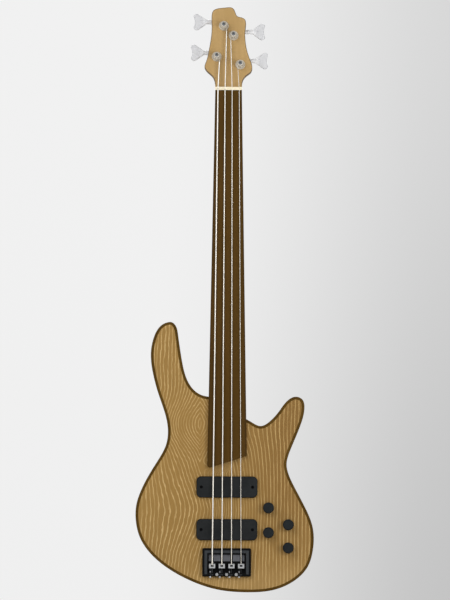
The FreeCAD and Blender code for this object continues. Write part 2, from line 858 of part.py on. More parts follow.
def inset_wire(inset):
    """The body's outline moved inwards by one distance all round."""
    first = outline_curve.FirstParameter
    step = (outline_curve.LastParameter - first) / inset_steps
    points = []
    for i in range(inset_steps):
        place = outline_curve.value(first + i * step)
        way = outline_curve.tangent(first + i * step)[0]
        points.append(place + way.cross(Vector(0, 1, 0)) * inset)
    return Part.Wire([closed_curve(points).toShape()])


def tightest_bend():
    """The least radius of the outline's outward bends."""
    first = outline_curve.FirstParameter
    step = (outline_curve.LastParameter - first) / bend_steps
    radii = []
    for i in range(bend_steps):
        place = outline_curve.value(first + i * step)
        inwards = outline_curve.tangent(first + i * step)[0].cross(Vector(0, 1, 0))
        to_centre = outline_curve.centerOfCurvature(first + i * step) - place
        if to_centre.dot(inwards) > 0:
            radii.append(to_centre.Length)
    return min(radii)


def outline_slab(wire, y_low, y_high):
    slab = Part.Face(wire).extrude(Vector(0, y_high - y_low, 0))
    slab.translate(Vector(0, y_low, 0))
    return slab


def outline_reach(start, way):
    """Where a line from a place leaves the body's outline last."""
    far = start + way * (size.body_length + size.body_width)
    pairs = body_outline.distToShape(Part.makeLine(start, far))[1]
    return max((pair[0] for pair in pairs), key=lambda point: (point - start).dot(way))


def cavity_wire(margin):
    """The four controls' places joined and grown by a margin."""
    corners = [Vector(x, 0, z) for x, z in knob_places.values()]
    return Part.makePolygon(corners + corners[:1]).makeOffset2D(margin)


def cover_screw_places():
    """One screw on the ledge outside each control, away from the controls' middle."""
    reach = (size.cavity_margin + size.cover_margin) / 2
    corners = [Vector(x, 0, z) for x, z in knob_places.values()]
    middle = sum(corners, Vector()) * (1 / len(corners))
    return [corner + (corner - middle).normalize() * reach for corner in corners]


jack_edge = outline_reach(Vector(0, 0, jack_place_z), Vector(1, 0, 0)).x
jack_seat_x = jack_edge - size.jack_recess - size.jack_flange_depth
cavity_wall_x = outer_knob_x + size.cavity_margin
butt_edge = outline_reach(Vector(0, 0, saddle_z), Vector(0, 0, -1)).z
horn_tip_z = butt_z + body_outline_shares[0][1] * size.body_length
socket_y = (core_face_y + body_back_y) / 2
socket_length = size.socket_floor + size.socket_bore_depth
butt_socket_z = butt_edge + size.socket_recess
horn_socket = Vector(
    horn_socket_shares[0] * size.body_width, body_back_y, butt_z + horn_socket_shares[1] * size.body_length
)


def neck_pocket():
    overrun = size.cut_overrun
    open_z = horn_tip_z
    low_half = neck_half_width(-heel_end_z) + size.pocket_gap
    high_half = neck_half_width(-open_z) + size.pocket_gap
    low_z = heel_end_z - size.pocket_gap
    corners = [(-low_half, low_z), (low_half, low_z), (high_half, open_z), (-high_half, open_z)]
    return plan_prism(corners, body_face_y - overrun, size.heel_depth)


def pickup_rout(z):
    half_width = size.pickup_width / 2 + size.rout_gap
    half_length = size.pickup_length / 2 + size.rout_gap
    box = block(
        -half_width, half_width, body_face_y - size.cut_overrun, rout_floor_y,
        z - half_length, z + half_length,
    )
    return box.makeFillet(size.pickup_corner + size.rout_gap, edges_along(box, Vector(0, 1, 0)))


def front_cuts():
    """What is cut from the front through the top into the core."""
    front = body_face_y - size.cut_overrun
    cuts = [neck_pocket()]
    cuts += [pickup_rout(z) for z in pickup_places.values()]
    for x, z in knob_places.values():
        radius = size.pot_bush_radius + size.hole_gap
        cuts.append(rod(radius, Vector(x, front, z), Vector(x, cavity_roof_y + size.cut_overrun, z)))
    for x, z in bridge_screw_places():
        depth = size.bridge_screw_length - size.bridge_rim_rise + size.bridge_screw_head_depth
        radius = size.bridge_screw_radius + size.hole_gap
        cuts.append(rod(radius, Vector(x, front, z), Vector(x, body_face_y + depth + size.hole_gap, z)))
    return cuts


def core_cuts():
    """What is cut into the core from the back, the sides and the routs' floors."""
    over = size.cut_overrun
    gap = size.hole_gap
    back = body_back_y + over
    cuts = [
        outline_slab(cavity_wire(size.cavity_margin), cavity_roof_y, back),
        outline_slab(cavity_wire(size.cover_margin), body_back_y - size.cover_depth, back),
    ]
    for x, z in bolt_places():
        cuts.append(rod(size.bolt_radius + gap, Vector(x, size.heel_depth - over, z), Vector(x, back, z)))
        seat = Vector(x, body_back_y - size.ferrule_depth, z)
        cuts.append(rod(size.ferrule_radius + gap, seat, Vector(x, back, z)))
    screw_end = body_face_y - size.pickup_rise + size.pickup_screw_length + size.pickup_travel_in
    for x, z in pickup_screw_places():
        start = Vector(x, rout_floor_y - over, z)
        cuts.append(rod(size.pickup_screw_radius + gap, start, Vector(x, screw_end + over, z)))
    for place in cover_screw_places():
        start = Vector(place.x, back, place.z)
        end = Vector(place.x, body_back_y - size.small_screw_length - gap, place.z)
        cuts.append(rod(size.small_screw_radius + gap, start, end))
    cuts.append(rod(
        size.jack_radius + gap, Vector(cavity_wall_x - over, jack_place_y, jack_place_z),
        Vector(jack_edge + over, jack_place_y, jack_place_z),
    ))
    cuts.append(rod(
        size.jack_flange_radius + gap, Vector(jack_seat_x, jack_place_y, jack_place_z),
        Vector(jack_edge + over, jack_place_y, jack_place_z),
    ))
    butt_socket = Vector(0, socket_y, butt_socket_z)
    for mouth, way in ((butt_socket, Vector(0, 0, -1)), (horn_socket, Vector(0, 1, 0))):
        outside = mouth + way * (size.socket_recess + over)
        floor = mouth - way * (socket_length + gap)
        cuts.append(rod(size.socket_radius + gap, outside, floor))
        cuts.append(rod(size.socket_flange_radius + gap, outside, mouth - way * size.socket_flange_depth))
    return cuts + wire_channels()


def wire_line_z():
    """The height at which the wires leave the bridge pickup, clear of its screws."""
    return pickup_places["bridge"] - size.pickup_length / 4


def wire_channels():
    """Bores for the wires between the routs and on to the control cavity."""
    x = size.bobbin_width / 2
    y = body_face_y + size.wire_sink
    low = wire_line_z()
    return [
        rod(size.channel_radius, Vector(x, y, low), Vector(x, y, pickup_places["neck"])),
        rod(size.channel_radius, Vector(x, y, low), Vector(inner_knob_x, y, low)),
    ]


def make_body():
    inner = inset_wire(size.binding_width)
    seam = inset_wire(size.binding_width + size.glue_gap)
    fronts = front_cuts()
    top = outline_slab(seam, body_face_y, core_face_y).cut(fronts)
    add_node("body_top", top)
    rim = outline_slab(body_outline, body_face_y, core_face_y)
    rim = rim.makeFillet(size.binding_round, edges_at_depth(rim, body_face_y))
    rim = rim.cut(outline_slab(inner, body_face_y - size.cut_overrun, core_face_y + size.cut_overrun))
    add_node("body_binding", rim.cut(neck_pocket()))
    core = outline_slab(body_outline, core_face_y, body_back_y)
    core = core.makeFillet(back_round_share * tightest_bend(), edges_at_depth(core, body_back_y))
    core = core.cut(fronts + core_cuts())
    far = size.body_width
    joint = size.board_joint_offset
    for label, left, right in (
        ("body_bass_board", -far, -joint),
        ("body_center_board", -joint, joint),
        ("body_treble_board", joint, far),
    ):
        piece = block(left, right, core_face_y, body_back_y, butt_z, butt_z + size.body_length)
        add_node(label, core.common(piece))


# Neck, fingerboard and nut

def neck_section(distance, depth):
    """The neck's section: flat at the front and rounded at the back."""
    half = neck_half_width(distance)
    points = []
    for step in range(neck_section_steps + 1):
        turn = math.pi * step / neck_section_steps
        across = math.copysign(abs(math.cos(turn)) ** (2 / neck_roundness), math.cos(turn))
        rise = abs(math.sin(turn)) ** (2 / neck_roundness) if 0 < step < neck_section_steps else 0
        points.append(Vector(half * across, depth * rise, -distance))
    curve = Part.BSplineCurve()
    curve.interpolate(Points=points)
    return Part.Wire([curve.toShape(), Part.makeLine(points[-1], points[0])])


def neck_shaft():
    heel_start = -heel_start_z
    middle = (heel_start + size.neck_waist) / 2
    middle_depth = (size.neck_depth_at_waist + size.neck_depth_at_heel) / 2
    return Part.makeLoft([
        neck_section(heel_start + size.heel_depth, size.neck_depth_at_heel),
        neck_section(middle, middle_depth),
        neck_section(size.neck_waist, size.neck_depth_at_waist),
        neck_section(-size.nut_length, size.neck_depth_at_head),
    ], True)


def neck_heel():
    low_half = neck_half_width(-heel_end_z)
    high_half = neck_half_width(-heel_start_z)
    corners = [
        (-low_half, heel_end_z), (low_half, heel_end_z),
        (high_half, heel_start_z), (-high_half, heel_start_z),
    ]
    heel = plan_prism(corners, 0, size.heel_depth)
    return heel.makeChamfer(size.heel_chamfer, edges_at_depth(heel, size.heel_depth))


def head_plate():
    points = [
        Vector(across * size.head_width, 0, along * size.head_length)
        for across, along in head_outline_shares
    ]
    curve = Part.BSplineCurve()
    curve.interpolate(Points=points)
    outline = Part.Wire([curve.toShape(), Part.makeLine(points[-1], points[0])])
    plate = Part.Face(outline).extrude(Vector(0, size.head_depth, 0))
    rims = [edge for depth in (0, size.head_depth) for edge in edges_at_depth(plate, depth)]
    curved = [edge for edge in rims if not isinstance(edge.Curve, Part.Line)]
    return placed(plate.makeFillet(size.head_edge_round, curved), Vector(), frame=head_frame)


def tuner_holes():
    """Bushing and screw holes, in the headstock's frame."""
    over = size.cut_overrun
    gap = size.hole_gap
    holes = []
    for name in string_names:
        post = post_place(name)
        start = post - Vector(0, over, 0)
        holes.append(rod(size.bush_radius + gap, start, post + Vector(0, size.head_depth + over, 0)))
        for corner in screw_places():
            mouth = post + corner + Vector(0, size.head_depth + over, 0)
            length = size.small_screw_length - size.plate_depth + over + gap
            holes.append(rod(size.small_screw_radius + gap, mouth, mouth - Vector(0, length, 0)))
    return [placed(hole, Vector(), frame=head_frame) for hole in holes]


def truss_spans():
    """The low and high ends of the truss rod."""
    return heel_end_z, -size.truss_inset


def make_neck():
    low, high = truss_spans()
    gap = size.truss_gap
    half = size.truss_width / 2 + gap
    channel = block(
        -half, half, -size.cut_overrun, size.truss_depth + gap, low - size.cut_overrun, high + gap
    )
    nut_middle = size.truss_depth / 2
    access = rod(
        size.truss_nut_radius + gap, Vector(0, nut_middle, low - size.cut_overrun),
        Vector(0, nut_middle, low + size.truss_nut_length + gap),
    )
    holes = [channel, access] + tuner_holes()
    bolt_end = body_back_y - size.ferrule_depth + size.ferrule_lip - size.bolt_length
    for x, z in bolt_places():
        start = Vector(x, size.heel_depth + size.cut_overrun, z)
        holes.append(rod(size.bolt_radius + size.hole_gap, start, Vector(x, bolt_end - size.hole_gap, z)))
    neck = neck_shaft().fuse([neck_heel(), head_plate()]).cut(holes)
    add_node("neck", neck)


def make_truss_rod():
    low, high = truss_spans()
    half = size.truss_width / 2
    bar = block(-half, half, 0, size.truss_depth, low + size.truss_nut_length, high)
    middle = size.truss_depth / 2
    nut = rod(size.truss_nut_radius, Vector(0, middle, low), Vector(0, middle, low + size.truss_nut_length))
    add_node("truss_rod", bar.fuse(nut))


def make_fingerboard():
    bass_z = body_places["board_end_bass"]
    treble_z = body_places["board_end_treble"]
    nut_half = neck_half_width(0)
    corners = [
        (-neck_half_width(-bass_z), bass_z), (neck_half_width(-treble_z), treble_z),
        (nut_half, 0), (-nut_half, 0),
    ]
    board = plan_prism(corners, -size.board_depth, 0)
    ends = [edge for edge in edges_along(board, Vector(0, 1, 0)) if edge.BoundBox.ZMax < heel_end_z]
    board = board.makeFillet(size.board_corner, [edge for edge in ends if edge.BoundBox.XMax < 0])
    base = Vector(0, size.board_radius - size.board_depth, bass_z - size.cut_overrun)
    crown = rod(size.board_radius, base, Vector(base.x, base.y, size.cut_overrun))
    add_node("fingerboard", board.common(crown))


def make_nut():
    half = size.nut_width / 2
    bar = block(-half, half, -size.board_depth - size.nut_rise, 0, 0, size.nut_length)
    radius = size.board_radius + size.nut_rise
    base = Vector(0, size.board_radius - size.board_depth, -size.cut_overrun)
    crown = rod(radius, base, Vector(base.x, base.y, size.nut_length + size.cut_overrun))
    bar = bar.common(crown)
    reach = size.string_channel_reach
    for route in routes.values():
        before = route.nut + (route.crest - route.nut).normalize() * reach
        after = route.nut + (route.touch - route.nut).normalize() * reach
        groove = tube(rounded_run([before, route.nut, after], size.string_bend),
                      route.radius + size.running_gap)
        bar = bar.cut(groove)
    add_node("nut", bar)


def make_neck_fixings():
    seat_y = body_back_y - size.ferrule_depth
    rings = [placed(ferrule.Shape, Vector(x, seat_y, z), to_back) for x, z in bolt_places()]
    add_node("neck_ferrules", Part.makeCompound(rings))
    tip_y = seat_y + size.ferrule_lip - size.bolt_length
    bolts = [placed(neck_bolt, Vector(x, tip_y, z), to_back) for x, z in bolt_places()]
    add_node("neck_bolts", Part.makeCompound(bolts))


# Tuners, all placed in the headstock's frame

def tuner_plate():
    """The plate behind the headstock, with two ears that carry the worm's shaft."""
    back = size.head_depth + size.plate_depth
    half = size.plate_half_width
    plate = block(-half, half, size.head_depth, back, -size.plate_post_reach, size.plate_worm_reach)
    plate = plate.makeFillet(size.plate_corner, edges_along(plate, Vector(0, 1, 0)))
    reach = size.worm_shaft_radius + size.ear_wall
    inner = size.worm_half_length + size.ear_gap
    for side in (-1, 1):
        near = side * inner
        far = side * (inner + size.ear_depth)
        foot = block(min(near, far), max(near, far), back - size.plate_depth, gear_middle_y,
                     worm_offset - reach, worm_offset + reach)
        eye = rod(reach, Vector(near, gear_middle_y, worm_offset), Vector(far, gear_middle_y, worm_offset))
        plate = plate.fuse([foot, eye])
    shaft = Vector(inner + size.ear_depth + size.cut_overrun, 0, 0)
    axis = Vector(0, gear_middle_y, worm_offset)
    holes = [rod(size.worm_shaft_radius + size.running_gap, axis - shaft, axis + shaft)]
    front = Vector(0, size.head_depth - size.cut_overrun, 0)
    rear = Vector(0, back + size.cut_overrun, 0)
    holes.append(rod(size.bush_radius + size.hole_gap, front, rear))
    for corner in screw_places():
        holes.append(rod(size.small_screw_radius + size.hole_gap, corner + front, corner + rear))
    return plate.cut(holes).removeSplitter()


def make_gear_pattern():
    """A gear blank with one tooth gap repeated round it."""
    tip = gear_pitch_radius + size.gear_module
    body = turned("gear_pattern", [
        ("post_tail_radius + hole_gap", "0"),
        ("gear_module * %d" % (gear_teeth / 2 + 1), "0"),
        ("gear_module * %d" % (gear_teeth / 2 + 1), "gear_width"),
        ("post_tail_radius + hole_gap", "gear_width"),
    ])
    root = gear_pitch_radius - 1.25 * size.gear_module
    half_gap = math.pi * size.gear_module / 4
    root_half = half_gap - 1.25 * size.gear_module * tooth_slope
    outer = tip + size.gear_module
    outer_half = half_gap + 2 * size.gear_module * tooth_slope
    corners = [(root, -root_half), (outer, -outer_half), (outer, outer_half), (root, root_half)]
    points = [Vector(x, y, -size.cut_overrun) for x, y in corners]
    gap = Part.Face(Part.makePolygon(points + points[:1]))
    gap = gap.extrude(Vector(0, 0, size.gear_width + 2 * size.cut_overrun))
    gaps = [
        placed(gap, Vector(), Rotation(Vector(0, 0, 1), 360 * tooth / gear_teeth))
        for tooth in range(gear_teeth)
    ]
    return body.Shape.cut(gaps)


def make_worm_body(name):
    """A worm shaft along its own Z, with its thread's crest at X over the middle of the worm."""
    label = "worm_pattern_" + name
    tail = size.worm_half_length + size.ear_gap + size.ear_depth + size.shaft_tail
    bare = "worm_half_length + ear_gap + ear_depth + shaft_tail"
    neck = "shaft_tail + ear_depth + ear_gap"
    end = "(%s + key_reach_%s - key_length + key_socket)" % (bare, name)
    body = turned(label, [
        ("0", "0"),
        ("worm_shaft_radius", "0"),
        ("worm_shaft_radius", neck),
        ("worm_root_radius", neck),
        ("worm_root_radius", neck + " + 2 * worm_half_length"),
        ("worm_shaft_radius", neck + " + 2 * worm_half_length"),
        ("worm_shaft_radius", end),
        ("0", end),
    ])
    half_lead = "gear_module * %.6f" % (math.pi * worm_turns / 2)
    crest_half = "(gear_module * %.6f - gear_backlash / 2)" % (math.pi / 4 - tooth_slope)
    root_half = "(gear_module * %.6f - gear_backlash / 2)" % (math.pi / 4 + tooth_slope)
    middle = "%s - %s" % (bare, half_lead)
    profile = closed_sketch(body, label + "_thread_profile", "XZ_Plane", [
        ("worm_root_radius - thread_sink", middle + " - " + root_half),
        ("worm_pitch_radius + gear_module", middle + " - " + crest_half),
        ("worm_pitch_radius + gear_module", middle + " + " + crest_half),
        ("worm_root_radius - thread_sink", middle + " + " + root_half),
    ])
    thread = body.newObject("PartDesign::AdditiveHelix", label + "_thread")
    thread.Profile = profile
    thread.ReferenceAxis = (profile, ["V_Axis"])
    thread.Mode = "pitch-turns-angle"
    thread.Turns = worm_turns
    thread.setExpression("Pitch", sheet_terms("gear_module * %.6f" % math.pi))
    body.Tip = thread
    doc.recompute()
    return placed(body.Shape, Vector(0, 0, -tail))


def key_shape():
    """A two-lobed key along its own X, with a round stem bored for the shaft."""
    lobe_x = size.key_length - size.key_lobe_radius
    start = Vector(size.key_flare_start, size.key_stem_radius, 0)
    lobe = Vector(lobe_x, size.key_lobe_offset, 0)
    to_lobe = lobe - start
    lean = math.degrees(math.asin(size.key_lobe_radius / to_lobe.Length))
    way = Rotation(Vector(0, 0, 1), lean).multVec(to_lobe).normalize()
    touch = start + way * math.sqrt(to_lobe.Length ** 2 - size.key_lobe_radius ** 2)
    upper = [start, touch, lobe, Vector(size.key_length, size.key_lobe_offset, 0)]
    lower = [Vector(point.x, -point.y, 0) for point in reversed(upper)]
    depth = Vector(0, 0, size.key_depth)
    blade = Part.Face(Part.makePolygon(upper + lower + upper[:1])).extrude(depth)
    lobes = [rod(size.key_lobe_radius, Vector(lobe_x, y, 0), Vector(lobe_x, y, 0) + depth)
             for y in (lobe.y, -lobe.y)]
    blade = blade.fuse(lobes).removeSplitter()
    notch = Vector(size.key_length + size.key_notch_radius - size.key_notch_depth, 0, 0)
    overrun = Vector(0, 0, size.cut_overrun)
    blade = blade.cut(rod(size.key_notch_radius, notch - overrun, notch + depth + overrun))
    rims = [edge for edge in blade.Edges if edge.BoundBox.ZLength < size.lift_gap]
    blade = blade.makeFillet(size.key_round, rims)
    blade.translate(depth * -0.5)
    stem = rod(size.key_stem_radius, Vector(), Vector(size.key_socket + size.key_stem_radius, 0, 0))
    bore = rod(size.worm_shaft_radius + size.hole_gap, Vector(-size.cut_overrun, 0, 0),
               Vector(size.key_socket + size.hole_gap, 0, 0))
    return blade.fuse(stem).cut(bore)


def post_with_slot(name):
    """A string post in the frame, slotted and bored where the string's end goes in."""
    route = routes[name]
    post = post_place(name)
    end_y = gear_middle_y + size.gear_width / 2 + size.rivet_depth
    shape = placed(string_post.Shape, post + Vector(0, end_y, 0), to_front, head_frame)
    edges = route.wrap_edges()[-2:] + route.tail_edges()
    width = route.radius + size.string_channel_gap
    channel = tube(edges, width)
    floor = route.around(0, 0, route.end_height)
    up = route.around(0, 0, size.post_rise + size.cut_overrun)
    out = route.around(route.slot_angle, size.post_head_radius + size.cut_overrun, route.end_height)
    side = (up - floor).cross(out - floor).normalize() * width
    foot = Part.makePolygon([floor - side, floor + side, out + side, out - side, floor - side])
    slot = Part.Face(foot).extrude(up - floor)
    return shape.cut([channel, slot])


def make_tuners():
    plate = tuner_plate()
    gear = make_gear_pattern()
    key = key_shape()
    plates = []
    screws = []
    bushings = []
    back_y = size.head_depth + size.plate_depth
    for name in string_names:
        post = post_place(name)
        plates.append(placed(plate, post, frame=head_frame))
        rear = post + Vector(0, size.head_depth, 0)
        bushings.append(placed(bushing.Shape, rear, to_front, head_frame))
        for corner in screw_places():
            tip = post + corner + Vector(0, back_y - size.small_screw_length, 0)
            screws.append(placed(small_screw, tip, to_back, head_frame))
        outward = Vector(post_sides[name], 0, 0)
        to_gear = Vector(0, 0, -1)
        worm_turn = Rotation(to_gear, outward.cross(to_gear), outward, "ZXY")
        key_turn = Rotation(outward, to_gear, outward.cross(to_gear), "XYZ")
        middle = post + Vector(0, gear_middle_y, worm_offset)
        stem = middle + outward * (getattr(size, "key_reach_" + name) - size.key_length)
        gear_front = post + Vector(0, gear_middle_y + size.gear_width / 2, 0)
        gear_turn = to_front.multiply(Rotation(Vector(0, 0, 1), -90))
        add_node("string_post_" + name, post_with_slot(name))
        add_node("tuner_gear_" + name, placed(gear, gear_front, gear_turn, head_frame))
        add_node("tuner_worm_" + name, placed(make_worm_body(name), middle, worm_turn, head_frame))
        add_node("tuner_key_" + name, placed(key, stem, key_turn, head_frame))
    add_node("tuner_plates", Part.makeCompound(plates))
    add_node("post_bushings", Part.makeCompound(bushings))
    return screws


# Pickups

def pickup_cover():
    """An open-backed cover with a boss for each screw, about its middle at the body's face."""
    half_width = size.pickup_width / 2
    half_length = size.pickup_length / 2
    low = -size.pickup_rise
    high = size.pickup_depth - size.pickup_rise
    wall = size.pickup_wall
    depth_way = Vector(0, 1, 0)
    shell = block(-half_width, half_width, low, high, -half_length, half_length)
    shell = shell.makeFillet(size.pickup_corner, edges_along(shell, depth_way))
    shell = shell.makeFillet(size.pickup_edge_round, edges_at_depth(shell, low))
    inside = block(wall - half_width, half_width - wall, low + wall, high + size.cut_overrun,
                   wall - half_length, half_length - wall)
    inside = inside.makeFillet(size.pickup_corner - wall, edges_along(inside, depth_way))
    shell = shell.cut(inside)
    for side in (-1, 1):
        x = side * size.pickup_screw_spread / 2
        axis_low = Vector(x, low, 0)
        hole = size.pickup_screw_radius + size.hole_gap
        boss = rod(hole + size.pickup_boss_wall, axis_low + depth_way * wall, Vector(x, high, 0))
        sink = Part.makeCone(
            size.pickup_screw_head_radius + size.hole_gap, hole, size.pickup_screw_head_depth,
            axis_low, depth_way,
        )
        overrun = depth_way * size.cut_overrun
        shell = shell.fuse(boss).cut([rod(hole, axis_low - overrun, Vector(x, high, 0) + overrun), sink])
    return shell


def pickup_coil():
    """Bobbin, coil and two bar magnets under the cover's roof."""
    roof = size.pickup_wall - size.pickup_rise
    half_width = size.bobbin_width / 2
    half_length = size.bobbin_length / 2
    flange = size.bobbin_flange
    core_half = size.bobbin_core_length / 2
    inset = size.coil_inset
    coil_top = roof + flange
    coil_foot = coil_top + size.coil_depth
    core_reach = half_width - half_length + core_half
    top = block(-half_width, half_width, roof, coil_top, -half_length, half_length)
    foot = block(-half_width, half_width, coil_foot, coil_foot + flange, -half_length, half_length)
    core = block(-core_reach, core_reach, coil_top, coil_foot, -core_half, core_half)
    bobbin = top.fuse([core, foot]).removeSplitter()
    depth_way = Vector(0, 1, 0)
    winding = block(inset - half_width, half_width - inset, coil_top, coil_foot,
                    inset - half_length, half_length - inset)
    winding = winding.makeFillet(half_length - 2 * inset, edges_along(winding, depth_way))
    gap = size.hole_gap
    winding = winding.cut(block(-core_reach - gap, core_reach + gap, coil_top, coil_foot,
                                -core_half - gap, core_half + gap))
    magnet_low = coil_foot + flange
    magnet_half = half_width - size.magnet_inset
    magnets = []
    for side in (-1, 1):
        middle = side * (core_half + size.magnet_length / 2)
        magnets.append(block(-magnet_half, magnet_half, magnet_low, magnet_low + size.magnet_depth,
                             middle - size.magnet_length / 2, middle + size.magnet_length / 2))
    return Part.makeCompound([bobbin, winding] + magnets)


def make_pickups():
    cover = pickup_cover()
    coil = pickup_coil()
    half = size.pickup_screw_spread / 2
    tip_y = body_face_y - size.pickup_rise + size.pickup_screw_length
    sleeves = []
    for label, z in pickup_places.items():
        middle = Vector(0, body_face_y, z)
        add_node(label + "_pickup_cover", placed(cover, middle))
        add_node(label + "_pickup_coil", placed(coil, middle))
        screws = []
        for side in (-1, 1):
            screws.append(placed(pickup_screw, Vector(side * half, tip_y, z), to_front))
            sleeves.append(placed(sleeve.Shape, Vector(side * half, rout_floor_y, z), to_front))
        add_node(label + "_pickup_screws", Part.makeCompound(screws))
    add_node("pickup_sleeves", Part.makeCompound(sleeves))


# Bridge

def saddle_bounds(route):
    """A saddle's low and high places on each axis."""
    half = size.saddle_width / 2
    top = route.crest.y + route.radius - size.saddle_lip
    foot = bridge_floor_y - size.saddle_lift
    front = saddle_z + size.saddle_lead
    return (route.saddle_x - half, route.saddle_x + half, top, foot, front - size.saddle_length, front)


def string_channel(route):
    return tube(route.channel_edges(), route.radius + size.string_channel_gap)


def intonation_axis(route):
    """The intonation screw's axis as a place at the bridge's rear face."""
    x = route.saddle_x - size.intonation_offset
    return Vector(x, bridge_floor_y - size.intonation_rise, bridge_rear_z)


def make_bridge_frame():
    half = size.bridge_width / 2
    rim_y = body_face_y - size.bridge_rim_rise
    frame = block(-half, half, rim_y, body_face_y, bridge_rear_z, bridge_front_z)
    frame = frame.makeFillet(size.bridge_corner, edges_along(frame, Vector(0, 1, 0)))
    frame = frame.makeFillet(size.bridge_edge_round, edges_at_depth(frame, rim_y))
    inside = half - size.bridge_bar
    well = block(-inside, inside, rim_y - size.cut_overrun, bridge_floor_y,
                 tail_block_z, bridge_front_z - size.bridge_bar)
    well = well.makeFillet(size.bridge_corner / 2, edges_along(well, Vector(0, 1, 0)))
    cuts = [well]
    over = Vector(0, 0, size.cut_overrun)
    for route in routes.values():
        cuts.append(string_channel(route))
        axis = intonation_axis(route)
        hole = size.intonation_radius + size.running_gap
        cuts.append(rod(hole, axis - over, Vector(axis.x, axis.y, tail_block_z) + over))
        reach = size.ball_length / 2 + size.ball_pocket_gap
        radius = size.ball_radius + size.ball_pocket_gap
        way = Vector(reach, 0, 0)
        cuts.append(rod(radius, route.ball - way, route.ball + way))
        cuts.append(block(route.saddle_x - reach, route.saddle_x + reach, route.ball.y - radius,
                          route.ball.y + radius, bridge_rear_z - size.cut_overrun, route.ball.z))
    for x, z in bridge_screw_places():
        hole = size.bridge_screw_radius + size.hole_gap
        sink = size.bridge_screw_head_radius + size.hole_gap
        low = Vector(x, rim_y - size.cut_overrun, z)
        cuts.append(rod(hole, low, Vector(x, body_face_y + size.cut_overrun, z)))
        cuts.append(rod(sink, low, Vector(x, rim_y + size.bridge_screw_head_depth, z)))
    add_node("bridge_frame", frame.cut(cuts))
    tip_y = rim_y + size.bridge_screw_head_depth + size.bridge_screw_length
    screws = [placed(bridge_screw, Vector(x, tip_y, z), to_front)
              for x, z in bridge_screw_places()]
    add_node("bridge_screws", Part.makeCompound(screws))


def make_saddle(name):
    route = routes[name]
    bounds = saddle_bounds(route)
    saddle = block(*bounds)
    saddle = saddle.makeChamfer(size.saddle_edge, edges_at_depth(saddle, bounds[2]))
    axis = intonation_axis(route)
    hole = size.intonation_radius + size.running_gap
    bore = rod(hole, axis, Vector(axis.x, axis.y, saddle_z + size.cut_overrun * size.saddle_lead))
    screw_z = saddle_z + size.saddle_lead - size.saddle_screw_inset
    holes = [string_channel(route), bore]
    grubs = []
    for side in (-1, 1):
        x = route.saddle_x + side * size.saddle_screw_offset
        foot = Vector(x, bridge_floor_y - size.lift_gap, screw_z)
        top = Vector(x, bounds[2] + size.saddle_edge, screw_z)
        grubs.append(rod(size.saddle_screw_radius, top, foot))
        above = Vector(x, bounds[2] - size.cut_overrun, screw_z)
        holes.append(rod(size.saddle_screw_radius + size.hole_gap, above, foot))
    add_node("saddle_" + name, Part.makeCompound([saddle.cut(holes)] + grubs))
    length = size.bridge_tail + size.saddle_lead - size.saddle_length + size.intonation_bite
    tip = axis + Vector(0, 0, length)
    add_node("intonation_screw_" + name, placed(intonation_screw, tip, to_butt))


# Controls

def make_controls():
    cases = []
    case_back_y = cavity_roof_y + size.pot_depth
    nut = doc.addObject("Part::Prism", "pot_nut_pattern")
    nut.Polygon = 6
    nut.setExpression("Circumradius", sheet_terms("pot_nut_radius"))
    nut.setExpression("Height", sheet_terms("pot_nut_depth"))
    doc.recompute()
    bush = rod(size.pot_bush_radius + size.hole_gap, Vector(0, 0, -size.cut_overrun),
               Vector(0, 0, size.pot_nut_depth + size.cut_overrun))
    ring = nut.Shape.cut(bush)
    knob_foot_y = body_face_y - size.knob_lift
    shaft_top_y = knob_foot_y - size.knob_bore_depth + size.lift_gap
    shaft_foot_y = case_back_y - size.pot_depth + size.shaft_depth - size.lift_gap
    for label, (x, z) in knob_places.items():
        cases.append(placed(potentiometer.Shape, Vector(x, case_back_y, z), to_front))
        cases.append(placed(ring, Vector(x, body_face_y, z), to_front))
        cap = placed(knob.Shape, Vector(x, knob_foot_y, z), to_front)
        shaft = rod(size.shaft_radius, Vector(x, shaft_foot_y, z), Vector(x, shaft_top_y, z))
        add_node(label + "_knob", Part.makeCompound([cap, shaft]))
    add_node("potentiometers", Part.makeCompound(cases))


def make_cavity_cover(plate_screws):
    """The back cover, and the small screws that it shares with the tuner plates."""
    cover = outline_slab(
        cavity_wire(size.cover_margin - size.cover_gap), body_back_y - size.cover_depth, body_back_y
    )
    screws = list(plate_screws)
    for place in cover_screw_places():
        start = Vector(place.x, body_back_y - size.cover_depth - size.cut_overrun, place.z)
        end = Vector(place.x, body_back_y + size.cut_overrun, place.z)
        cover = cover.cut(rod(size.small_screw_radius + size.hole_gap, start, end))
        tip = Vector(place.x, body_back_y - size.small_screw_length, place.z)
        screws.append(placed(small_screw, tip, to_back))
    add_node("cavity_cover", cover)
    add_node("small_screws", Part.makeCompound(screws))


def make_jack():
    axis = Vector(1, 0, 0)
    mouth = Vector(jack_edge - size.jack_recess, jack_place_y, jack_place_z)
    seat = Vector(jack_seat_x, jack_place_y, jack_place_z)
    tail = Vector(cavity_wall_x - size.jack_nut_depth - size.jack_tail, jack_place_y, jack_place_z)
    barrel = rod(size.jack_radius, tail, mouth).fuse(rod(size.jack_flange_radius, seat, mouth))
    bore = rod(size.jack_bore_radius, mouth - axis * size.jack_bore_depth, mouth + axis * size.cut_overrun)
    nut_foot = Vector(cavity_wall_x - size.jack_nut_depth, jack_place_y, jack_place_z)
    nut_face = Vector(cavity_wall_x, jack_place_y, jack_place_z)
    hole = rod(size.jack_radius + size.hole_gap, nut_foot - axis * size.cut_overrun,
               nut_face + axis * size.cut_overrun)
    nut = rod(size.jack_nut_radius, nut_foot, nut_face).cut(hole)
    add_node("output_jack", Part.makeCompound([barrel.removeSplitter().cut(bore), nut]))


